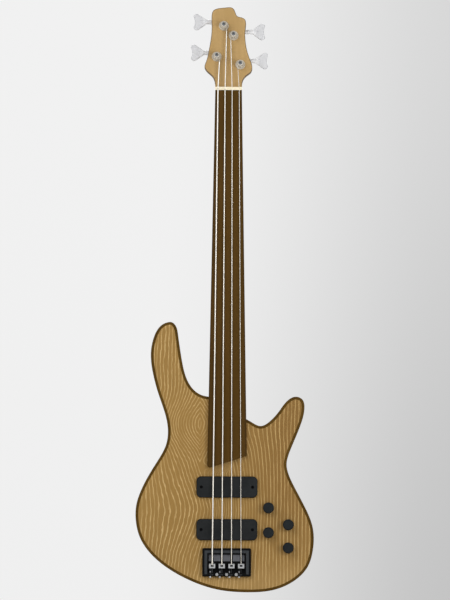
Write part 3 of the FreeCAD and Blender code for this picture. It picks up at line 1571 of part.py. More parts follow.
def make_strap_sockets():
    butt = placed(strap_socket.Shape, Vector(0, socket_y, butt_socket_z + socket_length), to_butt)
    horn = placed(strap_socket.Shape, horn_socket - Vector(0, socket_length, 0), to_back)
    add_node("strap_sockets", Part.makeCompound([butt, horn]))


def make_wiring():
    """Leads from the pickups to the controls and from the controls to the jack."""
    y = body_face_y + size.wire_sink
    lead_x = size.bobbin_width / 2
    bridge_z = wire_line_z()
    step = size.wire_pitch
    lug_x = inner_knob_x - size.pot_radius - size.wire_radius - size.hole_gap
    far_lug_y = cavity_roof_y + size.pot_depth + size.wire_radius + size.hole_gap
    neck_run = [
        Vector(lead_x, y - step / 2, pickup_places["neck"] - size.pickup_length / 4),
        Vector(lead_x, y - step / 2, bridge_z + step / 2),
        Vector(lug_x, y - step / 2, bridge_z + step / 2),
        Vector(lug_x, y - step / 2, knob_places["neck_volume"][1]),
    ]
    bridge_run = [
        Vector(lead_x - size.pickup_length / 2, y + step / 2, bridge_z - step / 2),
        Vector(lug_x, y + step / 2, bridge_z - step / 2),
        Vector(lug_x, y + step / 2, knob_places["bridge_volume"][1]),
    ]
    jack_x = cavity_wall_x - size.jack_nut_depth - size.jack_tail - size.wire_radius - size.hole_gap
    half_pot = size.pot_radius / 2
    jack_run = [
        Vector(inner_knob_x + half_pot, far_lug_y, knob_places["bridge_volume"][1] + half_pot),
        Vector(jack_x, far_lug_y, jack_place_z),
        Vector(jack_x, jack_place_y + size.jack_bore_radius, jack_place_z),
    ]
    wires = [tube(rounded_run(run, size.wire_bend), size.wire_radius)
             for run in (neck_run, bridge_run, jack_run)]
    for volume, tone in (("neck_volume", "neck_tone"), ("bridge_volume", "bridge_tone")):
        start = Vector(knob_places[volume][0], far_lug_y, knob_places[volume][1])
        end = Vector(knob_places[tone][0], far_lug_y, knob_places[tone][1])
        middle = (start + end) * 0.5
        half = (end - start).normalize() * (size.capacitor_length / 2)
        leads = rod(size.wire_radius / 2, start, end)
        wires.append(leads.fuse(rod(size.capacitor_radius, middle - half, middle + half)))
    add_node("wiring_harness", Part.makeCompound(wires))


def check_document():
    """Stop where a feature failed or a node's shape is empty or not valid."""
    doc.recompute()
    for item in doc.Objects:
        if "Invalid" in item.State or "Error" in item.State:
            raise RuntimeError("%s failed" % item.Label)
    for label, node in nodes.items():
        if node.Shape.isNull() or not node.Shape.isValid() or not node.Shape.Solids:
            raise RuntimeError("%s has no valid solid" % label)


make_body()
make_neck()
make_truss_rod()
make_fingerboard()
make_nut()
make_neck_fixings()
plate_screws = make_tuners()
for string_name in string_names:
    make_string(string_name)
make_pickups()
make_bridge_frame()
for string_name in string_names:
    make_saddle(string_name)
make_controls()
make_cavity_cover(plate_screws)
make_jack()
make_strap_sockets()
make_wiring()
check_document()
os.makedirs("parts", exist_ok=True)
for label, node in nodes.items():
    node.Shape.exportStep("parts/%s.step" % label)
print("%d nodes written" % len(nodes))
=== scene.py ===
# %% [markdown]
# # A fretless electric bass guitar
#
# The instrument arrives as a set of exact solids: body boards, neck, strings, tuners, pickups and bridge.
# This lesson dresses those solids. Each finish is worked out from numbers, so it has no picture files, and
# the small repeated shapes that a solid model leaves out are grown with Geometry Nodes.

# %% Load the solids as a fixed frame
import json
import math

import bmesh
import bpy
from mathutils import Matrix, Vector


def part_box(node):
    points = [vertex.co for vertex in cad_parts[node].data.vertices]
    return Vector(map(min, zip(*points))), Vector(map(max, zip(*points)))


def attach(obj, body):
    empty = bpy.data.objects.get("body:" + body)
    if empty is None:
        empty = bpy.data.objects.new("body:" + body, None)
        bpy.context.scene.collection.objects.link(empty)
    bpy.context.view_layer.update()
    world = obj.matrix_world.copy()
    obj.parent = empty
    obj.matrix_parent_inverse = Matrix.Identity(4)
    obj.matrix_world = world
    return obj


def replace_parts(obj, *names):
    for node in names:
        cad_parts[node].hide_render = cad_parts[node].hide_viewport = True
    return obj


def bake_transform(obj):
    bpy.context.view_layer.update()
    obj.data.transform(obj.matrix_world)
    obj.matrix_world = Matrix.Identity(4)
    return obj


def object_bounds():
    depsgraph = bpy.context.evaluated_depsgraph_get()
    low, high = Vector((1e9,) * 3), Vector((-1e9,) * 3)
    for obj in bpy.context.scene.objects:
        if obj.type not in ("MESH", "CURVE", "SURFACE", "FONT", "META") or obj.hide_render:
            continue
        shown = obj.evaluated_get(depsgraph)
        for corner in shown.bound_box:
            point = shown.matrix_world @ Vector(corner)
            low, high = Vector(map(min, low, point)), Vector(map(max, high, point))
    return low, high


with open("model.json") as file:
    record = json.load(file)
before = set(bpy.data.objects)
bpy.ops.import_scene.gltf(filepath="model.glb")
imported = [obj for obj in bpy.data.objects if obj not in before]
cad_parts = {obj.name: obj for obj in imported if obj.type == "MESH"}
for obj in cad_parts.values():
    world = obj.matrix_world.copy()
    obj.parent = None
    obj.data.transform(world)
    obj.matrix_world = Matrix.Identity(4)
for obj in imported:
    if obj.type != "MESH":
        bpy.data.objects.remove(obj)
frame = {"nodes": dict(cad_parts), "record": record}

nodes = frame["nodes"]
string_names = "eadg"
cad_low, cad_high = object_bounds()
print("solids:", len(nodes), "height in metres:", round(cad_high.z - cad_low.z, 4))

# %% [markdown]
# ## Sums for shaders
#
# A finish is a little machine of nodes. Wiring each one by hand hides the idea, so a small class lets a
# socket take part in ordinary Python sums: `1 - mask` adds the Math node by itself. Everything else, such as
# noise or a colour mix, comes from one method that takes the node's type, its settings and its inputs.

# %% A value that takes part in sums
class Term:
    """A shader socket that can be added, multiplied and so on."""

    def __init__(self, finish, socket):
        self.finish = finish
        self.socket = socket

    def sum(self, operation, first, second=0.0):
        return self.finish.node("ShaderNodeMath", {"operation": operation}, {0: first, 1: second})

    def __add__(self, other):
        return self.sum("ADD", self, other)

    def __radd__(self, other):
        return self.sum("ADD", other, self)

    def __sub__(self, other):
        return self.sum("SUBTRACT", self, other)

    def __rsub__(self, other):
        return self.sum("SUBTRACT", other, self)

    def __mul__(self, other):
        return self.sum("MULTIPLY", self, other)

    def __rmul__(self, other):
        return self.sum("MULTIPLY", other, self)

    def __truediv__(self, other):
        return self.sum("DIVIDE", self, other)

    def __abs__(self):
        return self.sum("ABSOLUTE", self)

    def fraction(self):
        return self.sum("FRACT", self)

    def exponential(self):
        return self.sum("EXPONENT", self)

    def power(self, exponent):
        return self.sum("POWER", self, exponent)

    def least(self, other):
        return self.sum("MINIMUM", self, other)

    def most(self, other):
        return self.sum("MAXIMUM", self, other)


def tone(red, green, blue):
    """A screen colour from 0 to 255 as the linear colour that a shader takes."""
    parts = []
    for level in (red, green, blue):
        share = level / 255
        parts.append(share / 12.92 if share <= 0.04045 else ((share + 0.055) / 1.055) ** 2.4)
    return (*parts, 1.0)


print("half-way grey as light:", round(tone(128, 128, 128)[0], 3))

# %% A finish: one material and the few nodes that all finishes use
unstretched = (1.0, 1.0, 1.0)


class Finish:
    """A material that is built step by step."""

    def __init__(self, name, **shader_inputs):
        self.start(bpy.data.materials.new(name), "Principled BSDF")
        self.paint(**shader_inputs)

    def start(self, material, shader_name):
        self.material = material
        self.material.use_nodes = True
        self.tree = self.material.node_tree
        self.shader = self.tree.nodes[shader_name]

    def feed(self, socket, value):
        if isinstance(value, Term):
            self.tree.links.new(value.socket, socket)
        else:
            socket.default_value = value

    def node(self, kind, settings=None, inputs=None, output=0):
        made = self.tree.nodes.new(kind)
        for key, value in (settings or {}).items():
            setattr(made, key, value)
        for key, value in (inputs or {}).items():
            self.feed(made.inputs[key], value)
        return Term(self, made.outputs[output])

    def axis(self, vector, index):
        return self.node("ShaderNodeSeparateXYZ", inputs={0: vector}, output=index)

    def place(self):
        """The point on the object in metres: its vector, x, y and z."""
        spot = self.node("ShaderNodeTexCoord", output="Object")
        return spot, *[self.axis(spot, index) for index in range(3)]

    def facing(self):
        """The way in which the surface faces."""
        return self.node("ShaderNodeNewGeometry", output="Normal")

    def noise(self, spot, scale, detail=2.0, stretch=unstretched):
        """Smooth noise. A stretch below 1 draws it out along that axis."""
        if stretch != unstretched:
            spot = self.node("ShaderNodeMapping", inputs={"Vector": spot, "Scale": stretch})
        return self.node("ShaderNodeTexNoise", inputs={"Vector": spot, "Scale": scale, "Detail": detail})

    def waves(self, spot, way, scale, distortion=0.0):
        """Even bands, as on a wound wire."""
        settings = {"bands_direction": way, "wave_profile": "SIN"}
        inputs = {"Vector": spot, "Scale": scale, "Distortion": distortion}
        return self.node("ShaderNodeTexWave", settings, inputs)

    def smooth(self, value, low, high, start=0.0, end=1.0):
        """A soft step from start to end while the value goes from low to high."""
        settings = {"interpolation_type": "SMOOTHSTEP"}
        return self.node("ShaderNodeMapRange", settings, {
            "Value": value, "From Min": low, "From Max": high, "To Min": start, "To Max": end,
        })

    def mix(self, factor, first, second):
        return self.node("ShaderNodeMix", {"data_type": "RGBA"}, {0: factor, 6: first, 7: second}, output=2)

    def hump(self, across, along, centre, reach, roundness):
        """A hill that rises to 1 at its centre. A roundness below 2 points it along the grain."""
        side = (across - centre[0]) / reach[0]
        length = abs((along - centre[1]) / reach[1]).power(roundness)
        return ((side * side + length) * -1.0).exponential()

    def bump(self, height, distance, strength=0.4):
        inputs = {"Height": height, "Distance": distance, "Strength": strength}
        self.feed(self.shader.inputs["Normal"], self.node("ShaderNodeBump", inputs=inputs))

    def paint(self, **shader_inputs):
        for key, value in shader_inputs.items():
            self.feed(self.shader.inputs[key.replace("_", " ")], value)
        return self.material


noise_span, pore_span = (0.3, 0.7), (0.3, 0.8)
finishes = {}
print("shader helpers ready")

# %% [markdown]
# ## The figured top
#
# The front is a sawn ash-like board. Pale growth lines run up and down it about 6 mm apart, close into an
# eye beside the neck, and bend out in a wide bow on the bass side. A picture of wood would be the usual way,
# but a formula follows the body exactly: the lines are the contours of a height map, `x` plus one hill for
# the eye, minus one for the bow, plus slow noise. Folding `x` back past the middle of the eye is what closes
# its lines. Away from the neck `x` counts for less, which sets the lines wider apart.

# %% Figured top: the height map
line_spacing, line_width, line_blend = 0.0043, 0.045, 0.13
bass_side, bass_share = -0.03, 0.72
treble_side, treble_share = -0.015, 0.65
calm_full, treble_calm = 0.02, 0.42
fold_height, fold_side = (0.09, 0.06), (0.01, -0.01)
eye_place, eye_reach, eye_push = (-0.0495, -0.610), (0.090, 0.040), 0.0225
bow_place, bow_reach, bow_push = (-0.045, -0.763), (0.075, 0.078), 0.0250
horn_place, horn_reach, horn_push = (-0.112, -0.500), (0.050, 0.060), 0.004
round_hill, bow_hill, horn_hill = 2.0, 1.7, 1.4
drift_scale, drift_push = 26.0, 0.007
waver_scale, waver_push = 190.0, 0.0028
wave_stretch = (1.0, 1.0, 0.35)


def growth_lines(finish, field, spacing, width):
    """1 on a growth line and 0 between lines."""
    off_line = abs((field / spacing).fraction() - 0.5)
    return 1.0 - finish.smooth(off_line, width, width + line_blend)


def figured_field(finish, spot, x, z):
    """The height map whose contours are the growth lines."""
    across = x.most(bass_side).least(treble_side) + (x - bass_side).least(0.0) * bass_share
    across = across + (x - treble_side).most(0.0) * treble_share
    eye_middle = bass_side + (eye_place[0] - bass_side) * bass_share
    past_eye = (across - eye_middle).most(0.0)
    beside_eye = finish.smooth(abs(z - eye_place[1]), *fold_height) * finish.smooth(x, *fold_side)
    field = across - past_eye * beside_eye * 2.0
    field = field + finish.hump(x, z, eye_place, eye_reach, round_hill) * eye_push
    field = field - finish.hump(x, z, bow_place, bow_reach, bow_hill) * bow_push
    field = field + finish.hump(x, z, horn_place, horn_reach, horn_hill) * horn_push
    drift = finish.noise(spot, drift_scale, stretch=wave_stretch)
    waver = finish.noise(spot, waver_scale, stretch=wave_stretch)
    calm = finish.smooth(x, treble_side, calm_full, 1.0, treble_calm)
    return field + ((drift - 0.5) * drift_push + (waver - 0.5) * waver_push) * calm


print("lines every", round(line_spacing / bass_share * 1000, 1), "mm on the bass side and",
      round(line_spacing / treble_share * 1000, 1), "mm on the treble side")

# %% Figured top: colours
calm_place, calm_reach, calm_share = (-0.036, -0.689), (0.016, 0.014), 0.8
fade_span, faintest = (0.3, 0.6), 0.3
# Painted shade darkens the treble side and its pale lines; painted light brightens the low end and low
# centre.
low_light_zone, foot_light_zone, foot_light_side = (-0.70, -0.90), (-0.84, -0.90), (-0.09, -0.02)
treble_shade_zone, pale_line_shade_zone = (-0.03, 0.12), (-0.03, 0.06)
foot_light_share, treble_shade_depth, low_light_relief = 0.8, 0.95, 0.7
open_pores, open_pore_share = (0.55, 0.8), 0.35
line_height, pore_height, top_depth = 0.6, 0.4, 0.0002
ground_tones = tone(149, 115, 60), tone(163, 128, 70)
pale_and_shaded_line_tones = tone(200, 167, 111), tone(188, 155, 99)
foot_light_tone, treble_shade_tone, pore_tone = tone(176, 142, 86), tone(136, 102, 52), tone(124, 92, 44)


def figured_top():
    finish = Finish("figured_top", Coat_Roughness=0.3, Specular_IOR_Level=0.14)
    spot, x, y, z = finish.place()
    lines = growth_lines(finish, figured_field(finish, spot, x, z), line_spacing, line_width)
    fading = finish.noise(spot, 90.0, stretch=(1.0, 1.0, 0.25))
    lines = lines * finish.smooth(fading, *fade_span, faintest, 1.0)
    lines = lines * (1.0 - finish.hump(x, z, calm_place, calm_reach, round_hill) * calm_share)
    pores = finish.noise(spot, 1400.0, stretch=(1.0, 1.0, 0.06))
    clouds = finish.noise(spot, 9.0)
    # Painted light and shade: darker to the treble side, lighter at the low end and the low centre.
    low_light = finish.smooth(z, *low_light_zone)
    foot_light = finish.smooth(z, *foot_light_zone) * finish.smooth(x, *foot_light_side)
    treble = finish.smooth(x, *treble_shade_zone) * (treble_shade_depth - low_light * low_light_relief)
    ground = finish.mix(clouds, *ground_tones)
    ground = finish.mix(foot_light * foot_light_share, ground, foot_light_tone)
    ground = finish.mix(treble, ground, treble_shade_tone)
    ground = finish.mix(finish.smooth(pores, *open_pores) * open_pore_share, ground, pore_tone)
    pale = finish.mix(finish.smooth(x, *pale_line_shade_zone) * (1.0 - low_light), *pale_and_shaded_line_tones)
    wood = finish.mix(lines, ground, pale)
    finish.bump(lines * line_height + pores * pore_height, top_depth)
    rough = finish.smooth(pores, *pore_span, 0.5, 0.65)
    return finish.paint(Base_Color=wood, Roughness=rough, Coat_Weight=0.05)


finishes["figured_top"] = figured_top()
print("figured top:", len(finishes["figured_top"].node_tree.nodes), "nodes")

# %% [markdown]
# ## The other woods
#
# Core boards, centre board, neck, fingerboard and the dark edge are all wood too, but each is cut from
# another tree. One function grows straight grain along the instrument: bands of slow noise, growth lines bent
# a little by more noise, and fine pores. The colours and the spacing make the difference.

# %% Straight-grained woods
depth_share, straight_width = 0.35, 0.12
line_dark, deep_pores, pore_dark = 0.4, (0.58, 0.8), 0.5
wood_depth, pore_roughness, lacquer_share = 0.00015, 0.15, 0.3


def straight_grain(finish, place, tones, spacing, waver):
    """Colour, pores and height of wood whose grain runs along the instrument."""
    spot, x, y, z = place
    ground, dark = tones
    drift = finish.noise(spot, 30.0, 3.0, (1.0, 1.0, 0.12))
    lines = growth_lines(finish, x + y * depth_share + (drift - 0.5) * waver, spacing, straight_width)
    pores = finish.noise(spot, 1500.0, stretch=(1.0, 1.0, 0.04))
    bands = finish.noise(spot, 55.0, stretch=(1.0, 1.0, 0.1))
    colour = finish.mix(finish.smooth(bands, *noise_span), ground, dark)
    colour = finish.mix(lines * line_dark, colour, dark)
    colour = finish.mix(finish.smooth(pores, *deep_pores) * pore_dark, colour, dark)
    return colour, pores, (lines + pores) * 0.5


def plain_wood(name, tones, spacing, waver, gloss=0.45, shine=0.14):
    finish = Finish(name, Coat_Roughness=0.25, Specular_IOR_Level=shine)
    colour, pores, height = straight_grain(finish, finish.place(), tones, spacing, waver)
    finish.bump(height, wood_depth)
    rough = finish.smooth(pores, *pore_span, gloss, gloss + pore_roughness)
    return finish.paint(Base_Color=colour, Roughness=rough, Coat_Weight=shine * lacquer_share)


for name, tones, *cut in (
    ("core_wood", (tone(158, 121, 66), tone(136, 100, 50)), 0.007, 0.012),
    ("centre_wood", (tone(176, 141, 84), tone(152, 116, 62)), 0.006, 0.004),
    ("dark_binding", (tone(95, 70, 26), tone(78, 56, 17)), 0.0016, 0.002, 0.55, 0.04),
):
    finishes[name] = plain_wood(name, tones, *cut)
    print(name, "spacing and waver in metres:", cut[:2])

# %% [markdown]
# ## Fingerboard and neck
#
# The fingerboard is dark, with painted shade that darkens it towards the right and more on its two rounded
# edges. It widens from the nut to the body, so the shader first works out how wide it is at that height. The
# neck is pale, with painted shade in brown round the edge of the headstock. That edge is found by the way the
# surface faces: the flat face looks along the tilted front, and whatever turns away from it is edge.

# %% Fingerboard
nut_half_width, width_growth = 0.0242, 0.0174
board_edge_shade, board_shade, shade_share, edge_shade_share = (0.86, 1.0), (-0.6, 1.0), 0.55, 0.8
board_tones = tone(87, 60, 19), tone(75, 52, 12)
shade_tone, edge_shade_tone = tone(78, 54, 10), tone(58, 40, 10)


def fingerboard_wood():
    finish = Finish("dark_board", Specular_IOR_Level=0.08)
    place = spot, x, y, z = finish.place()
    colour, pores, height = straight_grain(finish, place, board_tones, 0.003, 0.003)
    half_width = nut_half_width - z * width_growth
    # Painted shade: darker towards the right, and darker still on the two rounded edges.
    edge = finish.smooth(abs(x) / half_width, *board_edge_shade)
    shade = finish.smooth(x / half_width, *board_shade, 0.0, shade_share)
    colour = finish.mix(shade, colour, shade_tone)
    colour = finish.mix(edge * edge_shade_share, colour, edge_shade_tone)
    finish.bump(height, 0.0001, 0.35)
    return finish.paint(Base_Color=colour, Roughness=finish.smooth(pores, *pore_span, 0.42, 0.58))


finishes["dark_board"] = fingerboard_wood()
print("half width of the fingerboard at the nut in metres:", nut_half_width)

# %% Neck
head_tilt = math.radians(10)
head_front = (0.0, math.cos(head_tilt), -math.sin(head_tilt))
head_start, head_full = 0.006, 0.014
head_edge_shade_turn, head_edge_shade_share = (0.995, 0.8), 0.9
neck_tones, head_edge_shade_tone = (tone(192, 158, 104), tone(182, 148, 93)), tone(92, 70, 40)


def neck_wood():
    finish = Finish("neck_wood", Coat_Roughness=0.25, Specular_IOR_Level=0.2)
    place = spot, x, y, z = finish.place()
    colour, pores, height = straight_grain(finish, place, neck_tones, 0.009, 0.004)
    flatness = finish.node("ShaderNodeVectorMath", {"operation": "DOT_PRODUCT"},
                           {0: finish.facing(), 1: head_front}, "Value")
    # Painted shade: faces turned away from the headstock's front are painted brown.
    head_edge_shade = finish.smooth(abs(flatness), *head_edge_shade_turn) * finish.smooth(z, head_start, head_full)
    colour = finish.mix(head_edge_shade * head_edge_shade_share, colour, head_edge_shade_tone)
    finish.bump(height, 0.0001, 0.3)
    rough = finish.smooth(pores, *pore_span, 0.4, 0.52)
    return finish.paint(Base_Color=colour, Roughness=rough, Coat_Weight=0.15)


finishes["neck_wood"] = neck_wood()
print("woods:", sorted(finishes))

# %% [markdown]
# ## Metal
#
# Posts, plates and bushings are plated, the small screws are plain steel, and the gears are brass. Real metal
# is never one even mirror: it has fine brush marks and faint smears, which belong in the roughness, and a
# little dirt, which belongs in the colour.

# %% Metals
brush_scale, brush_stretch = 100.0, (9.0, 9.0, 0.6)
fine_marks, smear_span = 0.00002, (0.35, 0.75)
smoother, rougher, smear_rough = 0.05, 0.07, 0.06


def metal(name, light, dark, gloss, plating=1.0):
    finish = Finish(name, Metallic=plating)
    spot, x, y, z = finish.place()
    strokes = finish.noise(spot, brush_scale, stretch=brush_stretch)
    smears = finish.noise(spot, 160.0, 3.0)
    colour = finish.mix(finish.smooth(smears, *smear_span), light, dark)
    finish.bump(strokes, fine_marks)
    rough = finish.smooth(strokes, *noise_span, gloss - smoother, gloss + rougher)
    return finish.paint(Base_Color=colour, Roughness=rough + smears * smear_rough)


for name, light, dark, *polish in (
    ("bright_chrome", tone(226, 227, 229), tone(212, 213, 216), 0.3),
    ("bush_nickel", tone(200, 190, 172), tone(188, 178, 160), 0.5, 0.3),
    ("plain_steel", tone(186, 186, 186), tone(160, 160, 160), 0.36),
    ("gear_brass", tone(206, 168, 92), tone(182, 142, 70), 0.3),
    ("black_screw", tone(18, 18, 19), tone(10, 10, 11), 0.5),
    ("control_case", tone(188, 190, 192), tone(164, 166, 168), 0.4),
):
    finishes[name] = metal(name, light, dark, *polish)
    print(name, "roughness about", polish[0])

# %% [markdown]
# ## Keys and string posts
#
# A key is a satin leaf on a stem painted paler as painted light, and its tip tells where the leaf is. A post
# is turned from one bar; painted shade darkens its end where the hole and slot for the string are, and a
# painted highlight makes a pale rim. The rim is found by its distance from the post's axis, which leans back
# with the headstock, so the sum needs the place along the headstock and not the bare height.

# %% Keys: a satin leaf on a stem painted paler as painted light
leaf_start, leaf_blend = 0.0130, 0.0100
key_gloss, stem_painted_light_tone = (0.5, 0.62), tone(244, 244, 245)
leaf_tones = tone(218, 218, 219), tone(212, 212, 214)


def satin_key(name):
    finish = Finish("satin_key_" + name, Specular_IOR_Level=0.2)
    spot, x, y, z = finish.place()
    low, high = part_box("tuner_key_" + name)
    tip = low.x if low.x + high.x < 0 else high.x
    leaf = finish.smooth(abs(x - tip), leaf_start + leaf_blend, leaf_start)
    smears = finish.noise(spot, 160.0, 3.0)
    colour = finish.mix(smears, *leaf_tones)
    # Painted light: the stem is painted paler than the leaf.
    colour = finish.mix(leaf, stem_painted_light_tone, colour)
    finish.bump(smears, fine_marks)
    return finish.paint(Base_Color=colour, Roughness=finish.smooth(smears, *noise_span, *key_gloss))


for name in string_names:
    finishes["satin_key_" + name] = satin_key(name)
print("keys with a leaf of", leaf_start, "m:", len(string_names))

# %% String posts
post_core, post_rim = 0.0030, 0.0042
post_gloss, rim_highlight_tone = (0.4, 0.52), tone(198, 190, 176)
steel_and_hole_shade_tones = tone(112, 115, 118), tone(92, 95, 98)


def post_steel(name):
    finish = Finish("post_steel_" + name, Metallic=0.5)
    spot, x, y, z = finish.place()
    low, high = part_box("string_post_" + name)
    middle = (low + high) / 2
    along = (z - middle.z) * math.cos(head_tilt) + (y - middle.y) * math.sin(head_tilt)
    across = x - middle.x
    # Painted shade in the hole and slot makes the dark core; a painted highlight makes the pale rim.
    rim = finish.smooth((across * across + along * along).power(0.5), post_core, post_rim)
    turning = finish.noise(spot, 500.0, stretch=(1.0, 6.0, 1.0))
    colour = finish.mix(turning, *steel_and_hole_shade_tones)
    colour = finish.mix(rim, colour, rim_highlight_tone)
    finish.bump(turning, fine_marks)
    return finish.paint(Base_Color=colour, Roughness=finish.smooth(turning, *noise_span, *post_gloss))


for name in string_names:
    finishes["post_steel_" + name] = post_steel(name)
print("posts with a rim from", post_core, "to", post_rim, "m:", len(string_names))

# %% [markdown]
# ## Strings
#
# A bass string is a steel core with a fine winding, with painted shade in the grooves between its turns. Its
# front catches the light, and a painted reflection of the dark board darkens its flanks. Both ends are
# wrapped in thread, pale where the string goes round its post and dark between the saddle and the ball, a
# dark that is partly thread and partly painted shade. The thread is the same solid as the string, so the
# shader finds it by
# place: below the saddle line, or above the height at which the wraps leave the straight run.

# %% Strings
saddle_z = -0.8636
tail_start, tail_full = saddle_z - 0.0008, saddle_z - 0.0016
head_y, head_z = 0.001, 0.0058
wrap_span, wrap_height = 0.0165, 0.0066
wrap_blend, wrap_rise = 0.0006, 0.002
winding_scale, winding_depth, groove_shade_share = 420.0, 0.00008, 0.15
flank_reflection_turn, wire_gloss = (0.92, 0.5), (0.32, 0.45)
wire_plating, thread_rough = 0.6, 0.35
wire_tones = tone(250, 246, 238), tone(240, 233, 220)
groove_shade_tone, flank_reflection_tone = tone(206, 196, 178), tone(112, 106, 96)
wrap_tone, tail_thread_and_shade_tone = tone(198, 189, 172), tone(26, 27, 29)


def string_wire(name):
    finish = Finish("string_wire_" + name)
    spot, x, y, z = finish.place()
    turns = finish.waves(spot, "Z", winding_scale)
    worn = finish.noise(spot, 40.0, stretch=(1.0, 1.0, 0.2))
    forward = abs(finish.axis(finish.facing(), 1))
    height = (z - head_z) * math.sin(head_tilt) - (y - head_y) * math.cos(head_tilt)
    wraps_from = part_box("string_" + name)[1].z - wrap_span
    wrapped = finish.smooth(height, wrap_height, wrap_height + wrap_blend)
    wrapped = wrapped * finish.smooth(z, wraps_from - wrap_rise, wraps_from)
    tail = finish.smooth(z, tail_start, tail_full)
    colour = finish.mix(worn, *wire_tones)
    # Painted shade in the grooves between the turns.
    colour = finish.mix(turns * groove_shade_share, colour, groove_shade_tone)
    # Painted reflection of the dark board on the flanks.
    colour = finish.mix(finish.smooth(forward, *flank_reflection_turn), colour, flank_reflection_tone)
    colour = finish.mix(wrapped, colour, wrap_tone)
    # Dark thread behind the saddle, partly painted shade.
    colour = finish.mix(tail, colour, tail_thread_and_shade_tone)
    thread = wrapped.most(tail)
    finish.bump(turns, winding_depth)
    plating = wire_plating - thread * wire_plating
    rough = finish.smooth(worn, *noise_span, *wire_gloss) + thread * thread_rough
    return finish.paint(Base_Color=colour, Metallic=plating, Roughness=rough)


for name in string_names:
    finishes["string_wire_" + name] = string_wire(name)
print("strings:", len(string_names), "with thread below", round(tail_start, 4), "m")

# %% [markdown]
# ## The black bridge
#
# The casting is black, and its broad flat bars are dark grey. Instead of a texture, the shader
# asks how far a point lies inside the frame's rectangle, and lets the black edge show wherever that is small.
# The floor of the well, between the front bar and the saddles, is a paler bare grey with a painted shadow of
# black below each string. The strings are evenly spaced there, so one `fraction` finds the distance to the
# nearest one.

# %% Bridge casting
bridge_low, bridge_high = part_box("bridge_frame")
outer_edge, inner_edge, bar_width = 0.0038, 0.0018, 0.0104
bar_end, well_end = bar_width - inner_edge, bar_width + 0.0130
well_start, well_full = bar_width + 0.0012, bar_width + 0.0018
floor_start_y, floor_full_y = -0.0012, -0.0006
string_shadow_half, string_pitch = 0.0027, 0.0527 / 3
blend_width, grit_depth, casting_gloss = 0.0006, 0.00006, (0.45, 0.6)
black_tone, well_tone = tone(6, 6, 7), tone(106, 107, 112)
bar_grey_tones = tone(62, 65, 68), tone(54, 57, 60)


def from_string(x):
    """The distance to the nearest string line at the bridge."""
    return abs((x / string_pitch).fraction() - 0.5) * string_pitch


def black_casting():
    finish = Finish("black_casting", Specular_IOR_Level=0.08)
    spot, x, y, z = finish.place()
    from_side = (bridge_high.x - bridge_low.x) / 2 - abs(x)
    from_front = bridge_high.z - z
    from_rear = z - bridge_low.z
    nearest = from_side.least(from_front)
    bar = finish.smooth(nearest, outer_edge, outer_edge + blend_width)
    bar = bar * finish.smooth(nearest, bar_end + blend_width, bar_end)
    bar = bar * finish.smooth(from_rear, outer_edge, outer_edge + blend_width)
    floor = finish.smooth(nearest, well_start, well_full)
    floor = floor * finish.smooth(y, floor_start_y, floor_full_y)
    # Painted shadow of each string: a black band on the well floor.
    floor = floor * finish.smooth(from_string(x), string_shadow_half - blend_width, string_shadow_half)
    floor = floor * finish.smooth(from_front, well_end + blend_width, well_end)
    grit = finish.noise(spot, 900.0)
    bar_mottle = finish.noise(spot, 140.0, 3.0)
    # Dark grey bars with a black edge.
    grey = finish.mix(bar_mottle, *bar_grey_tones)
    colour = finish.mix(bar, black_tone, grey)
    colour = finish.mix(floor, colour, well_tone)
    finish.bump(grit, grit_depth)
    return finish.paint(Base_Color=colour, Roughness=finish.smooth(bar_mottle, *noise_span, *casting_gloss))


finishes["black_casting"] = black_casting()
print("bridge width in metres:", round(bridge_high.x - bridge_low.x, 4))

# %% [markdown]
# ## Saddles and intonation screws
#
# Each saddle is bare grey metal with black ends, and painted shade in black fills the slot where the string
# dips behind its crest.
# The screws that pull the saddles are blackened, apart from a ring of painted highlight and the bare head
# that shows behind the bridge. All of these marks are bands along the string, measured from the saddle line.

# %% Saddles and their screws
slot_half, slot_start, slot_end = 0.0023, 0.0009, 0.0045
bare_start, bare_end = -0.0010, 0.0066
ring_z, ring_half = -0.8772, 0.0011
shaft_end_z = bridge_low.z
smear_depth, saddle_gloss, screw_gloss = 0.00003, (0.4, 0.52), (0.36, 0.5)
saddle_tones, black_and_slot_shade_tone = (tone(188, 189, 190), tone(170, 171, 172)), tone(14, 14, 15)
screw_tones = tone(188, 188, 188), tone(162, 162, 163)
shaft_tone, ring_highlight_tone = tone(34, 35, 37), tone(140, 140, 142)


def saddle_metal():
    """Grey metal with black ends, and painted shade in black in the slot where the string dips behind the
    crest.
    """
    finish = Finish("saddle_metal", Metallic=0.5)
    spot, x, y, z = finish.place()
    behind = saddle_z - z
    slot = finish.smooth(from_string(x), slot_half + blend_width, slot_half)
    slot = slot * finish.smooth(behind, slot_start - blend_width, slot_start)
    slot = slot * finish.smooth(behind, slot_end, slot_end - blend_width)
    bare = finish.smooth(behind, bare_start - blend_width, bare_start)
    bare = bare * finish.smooth(behind, bare_end + blend_width, bare_end)
    smears = finish.noise(spot, 300.0, 3.0)
    colour = finish.mix(smears, *saddle_tones)
    # Black ends, and painted shade in black in the string's slot.
    colour = finish.mix(bare * (1.0 - slot), black_and_slot_shade_tone, colour)
    finish.bump(smears, smear_depth)
    return finish.paint(Base_Color=colour, Roughness=finish.smooth(smears, *noise_span, *saddle_gloss))


